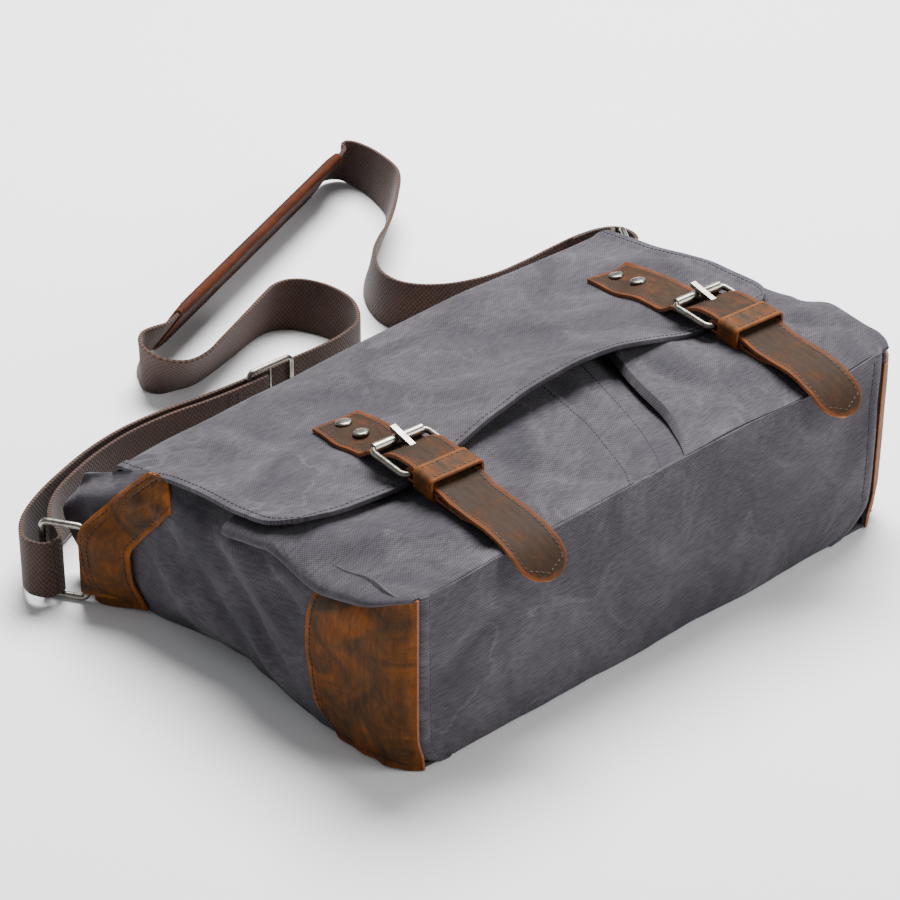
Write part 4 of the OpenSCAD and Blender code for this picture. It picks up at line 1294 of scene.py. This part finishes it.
def pen_skin(a, b):
    left, right = curve(PEN_LINE, b), curve(RIGHT_LINE, b) + 8
    x = left + (right - left) * a / PEN_WIDE
    dip = 1.5 - 1.5 * bump(a, 14, 9) + 4.5 * smooth(26, 42, a) * smooth(5, 60, b)
    return bag(x, b, face_z(x, b) - dip)


left_skin = pocket(-1, PEN_LINE, LEFT_WIDE, 0)
right_skin = pocket(1, RIGHT_LINE, RIGHT_WIDE, 3.2)
pocket_rows = steps(0.4, POCKET_RUN, 4, (1,))
for name, node, wide, skin in (("left", "pocket_left", LEFT_WIDE, left_skin),
                               ("right", "pocket_right", RIGHT_WIDE, right_skin),
                               ("pen", "pen_pocket", PEN_WIDE, pen_skin)):
    piece = cloth("pocket_canvas_" + name, steps(0, wide, 4, (1, 3)), pocket_rows, skin, 2.0, [canvas],
                  round_mm=0.5)
    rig.ride(piece, "body")
    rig.replaces(piece, node)
    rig.slot(piece, "canvas")


def above_face(line, lift, offset=0.0):
    return [bag(curve(line, v) + offset, v, face_z(curve(line, v) + offset, v) + lift)
            for v in range(0, 120, 4)]


pocket_stitches = sew("pocket_stitches", [
    above_face(PEN_LINE, 1.1, -3), line_on(pen_skin, [(21, 2), (23, 60), (25, 118)], 1.1)],
    navy_thread)
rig.ride(pocket_stitches, "body")
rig.slot(pocket_stitches, "canvas")

# %% [markdown]
# ## Closing straps
# Each strap is riveted on the flap, goes over the buckle's roller, under its tongue, through the
# keeper and hangs over the base. A tab, sewn on below it, is folded round the buckle's bar. The
# straps lean a little to the right. Each is a side view, drawn as a line, with cloth across it.

# %% Places on a closing strap
STRAP_LEAN = math.radians(5)
STRAPS = {"left": (-97.0, 178.0, 83.0, (169, 152)), "right": (137.0, 196.0, 78.0, (187, 166))}
BAR_Z = 126.0
BILLET_HALF = 16.0
KEEPER_WIDE, KEEPER_TALL, KEEPER_LONG = 35, 13.2, 17
KEEPER_BEHIND = 23        # from the bar towards the base
BUCKLE_WIDE, BUCKLE_LONG, BUCKLE_R = 38, 33, 2.0
STITCH_IN = 12.8          # stitch rows from the middle of a strap


def strap_place(x, bar, dx, v):
    return (x + dx * math.cos(STRAP_LEAN) + (v - bar) * math.sin(STRAP_LEAN),
            bar - dx * math.sin(STRAP_LEAN) + (v - bar) * math.cos(STRAP_LEAN))


def on_strap(x, bar, dx, v, z):
    return rolled(*strap_place(x, bar, dx, v), z)


def tip(r, radius):
    """Narrows a strap to a round end."""
    return max(0.18, math.sqrt(max(0.0, radius**2 - (radius - min(r, radius))**2)) / radius)


print("closing straps at", [(side, where[0]) for side, where in STRAPS.items()])

# %% [markdown]
# Both straps are made by one loop, since only their place and length differ. The strap, the tab
# and the keeper are cloth over their own surfaces; the frame is a wire and the caps are turned.

# %% Straps, tabs, keepers and buckles

rivet_caps = {}
for side, (strap_x, end_v, bar_v, rivet_vs) in STRAPS.items():
    billet_knots = run_of([(-23, 108), (-15, 115.5), (-7, 120.3), (3, 123.6), (15, 125.2),
        (bar_v - 46, 125.2), (bar_v - 36, 125.4), (bar_v - 27, 127.3), (bar_v - 11, 130.2),
        (bar_v - 2, 131.8), (bar_v + 5, 131.7), (bar_v + 14, 130.6), (bar_v + 21, 127.4),
        (bar_v + 28, 122.3), (bar_v + 33, 121.3), (bar_v + 38, 120.8), (bar_v + 50, 117),
        (end_v - 20, 106), (end_v, 104)])
    billet_run = billet_knots[-1][0]

    def billet(a, b, x=strap_x, bar=bar_v, knots=billet_knots):
        v, z = curve(knots, b)
        across = a * tip(b, BILLET_HALF)
        flat_x, flat_v = strap_place(x, bar, across, v)
        down = smooth(bar + 37, bar + 52, v)
        z += (flap_z(flat_x, flat_v) + 2.9 - z) * down
        return rolled(flat_x, flat_v, z + 0.35 * ripple(a, b, 16, x) * (1 - down))

    tab_knots = run_of([(21, 122.6), (45, 122.6), (bar_v - 6, 122.7)] + [
        (bar_v + 3.3 * math.cos(t), BAR_Z + 3.3 * math.sin(t))
        for t in [math.pi * (i / 6 - 0.5) for i in range(7)]] + [
        (bar_v - 5, 128.2), (bar_v - 13, 125.2), (bar_v - 26, 124.7)])
    tab_run = tab_knots[-1][0]

    def tab_skin(a, b, x=strap_x, bar=bar_v, knots=tab_knots):
        v, z = curve(knots, b)
        return on_strap(x, bar, a * tip(b, BILLET_HALF), v, z)

    keeper_ring = round_rectangle(KEEPER_WIDE, KEEPER_TALL, 2.4, 4)
    keeper_ring.append(keeper_ring[0])
    keeper_girth = distances_along(keeper_ring)
    keeper_spot = dict(zip(keeper_girth, keeper_ring))

    def keeper_skin(a, b, x=strap_x, bar=bar_v, spot=keeper_spot):
        dx, up = spot[a]
        return on_strap(x, bar, dx, bar - KEEPER_BEHIND + b, 127.0 + up)

    pieces = {"billet_" + side: cloth("closing_strap_" + side, steps(-BILLET_HALF, BILLET_HALF, 3.2, (1,)),
                                      steps(0, billet_run, 3, (0.8, 2, 4, 7)), billet, 2.2,
                                      [strap_leather, raw_edge], round_mm=0.5),
              "buckle_tab_" + side: cloth("buckle_tab_leather_" + side, steps(-BILLET_HALF, BILLET_HALF, 3.2,
                                      (1,)), sorted(set(steps(0, tab_run, 3, (0.8, 2, 4, 7))
                                      + [k for k, _ in tab_knots if k > 8])), tab_skin, 1.8,
                                      [panel_leather, raw_edge], round_mm=0.4),
              "keeper_" + side: cloth("keeper_loop_" + side, keeper_girth, steps(0, KEEPER_LONG, 4, (1,)),
                                      keeper_skin, 1.8, [panel_leather, raw_edge], closed=True,
                                      round_mm=0.4, edge_of=lambda a, b: min(b, KEEPER_LONG - b))}
    low, high = 9.0, billet_run - 3.2
    edge_rows = [[(-STITCH_IN, low), (-STITCH_IN, high), (STITCH_IN, high), (STITCH_IN, low)],
                 [(-STITCH_IN, low), (0, 3.4), (STITCH_IN, low)]]
    stitches = sew("closing_strap_stitches_" + side,
                   [line_on(billet, row, 1.15, 3) for row in edge_rows]
                   + [line_on(tab_skin, [(a, 9), (a, 34)], 1.0) for a in (-STITCH_IN, STITCH_IN)]
                   + [[on_strap(strap_x, bar_v, dx, bar_v - KEEPER_BEHIND + b, 134.6)
                       for dx in range(-15, 16, 3)] for b in (2.8, 14.2)], brown_thread)
    frame_wire = wire("buckle_wire_" + side, [on_strap(strap_x, bar_v, a, bar_v + BUCKLE_LONG / 2 + b, BAR_Z)
                      for a, b in round_rectangle(BUCKLE_WIDE, BUCKLE_LONG, 5)], BUCKLE_R, nickel)
    pieces["buckle_frame_" + side] = frame_wire
    cap_turn = Matrix.Rotation(-math.atan(FLAP_SLOPE), 4, "X")
    cap_places = [Matrix.Translation(rolled(*strap_place(strap_x, bar_v, 0, v),
                  flap_z(*strap_place(strap_x, bar_v, 0, v)) + 3.9)) @ cap_turn for v in rivet_vs]
    caps = turned("rivet_caps_" + side, [(0, 2.1), (3.9, 2.05), (4.7, 1.75), (5, 1.3), (5, 0.2),
                  (4.8, 0), (0, 0)], cap_places, nickel)
    for node, piece in pieces.items():
        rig.ride(piece, "flap_front")
        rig.replaces(piece, node)
        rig.slot(piece, "nickel" if "frame" in node else "leather")
    for piece, slot in ((stitches, "leather"), (caps, "nickel")):
        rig.ride(piece, "flap_front")
        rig.slot(piece, slot)
    rivet_caps[side] = caps
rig.replaces(rivet_caps["left"], "rivets")

# %% [markdown]
# ## Solids that stay
# The board, the magnets, the rollers and the tongues already have their true shape as solids, and
# modelling them again would only risk their fit. They stay and get their real finish.

# %% Finishes on the solids
kept_solids = {"base_board": board}
for node in ("snap_sockets", "snap_studs", "roller_left", "roller_right", "tongue_left", "tongue_right"):
    kept_solids[node] = nickel
for node, finish in kept_solids.items():
    for slot in frame["nodes"][node].material_slots:
        slot.material = finish
print("kept solids:", len(kept_solids))

# %% [markdown]
# ## Floor and light
# A plain white table under one large soft lamp above and behind, with a weak lamp in front to lift
# the base, as in a studio. A point or a sun would give hard shadows; a wide disk gives soft ones.

# %% Floor and light
floor_mesh = bmesh.new()
bmesh.ops.create_grid(floor_mesh, x_segments=1, y_segments=1, size=4.0)
white = make_plain("matte_pale_table", "#ececec", "#f0f0f0", 400, 0.9)
floor = finish_piece(floor_mesh, "table", [white])
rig.stage(floor)


def lamp(name, place, size, watts):
    light = bpy.data.lights.new(name, "AREA")
    light.shape = "DISK"
    light.size, light.energy = size, watts
    holder = bpy.data.objects.new(name, light)
    bpy.context.scene.collection.objects.link(holder)
    aim = (Vector((0, 0, 0.05)) - Vector(place)).to_track_quat("-Z", "Y").to_matrix().to_4x4()
    holder.matrix_world = Matrix.Translation(Vector(place)) @ aim


lamp("key_above_behind_right", (0.75, 0.7, 2.0), 1.5, 184)
lamp("fill_front_right", (1.2, -2.0, 1.2), 1.4, 44)
world = bpy.data.worlds.new("studio")
world.use_nodes = True
sky = world.node_tree.nodes["Background"]
sky.inputs["Color"].default_value = linear("#f2f4f8")
sky.inputs["Strength"].default_value = 0.4
bpy.context.scene.world = world

# %% [markdown]
# ## Sizes
# The solids' box and the visual model's box are written side by side, so the two can be compared.

# %% Sizes and finish
low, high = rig.bounds()
with open("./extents.json", "w") as out:
    json.dump({"cad": [list(cad_low), list(cad_high)], "visual": [list(low), list(high)]}, out)
print("cad", [round(c, 4) for c in (*cad_low, *cad_high)], "visual", [round(c, 4) for c in (*low, *high)])
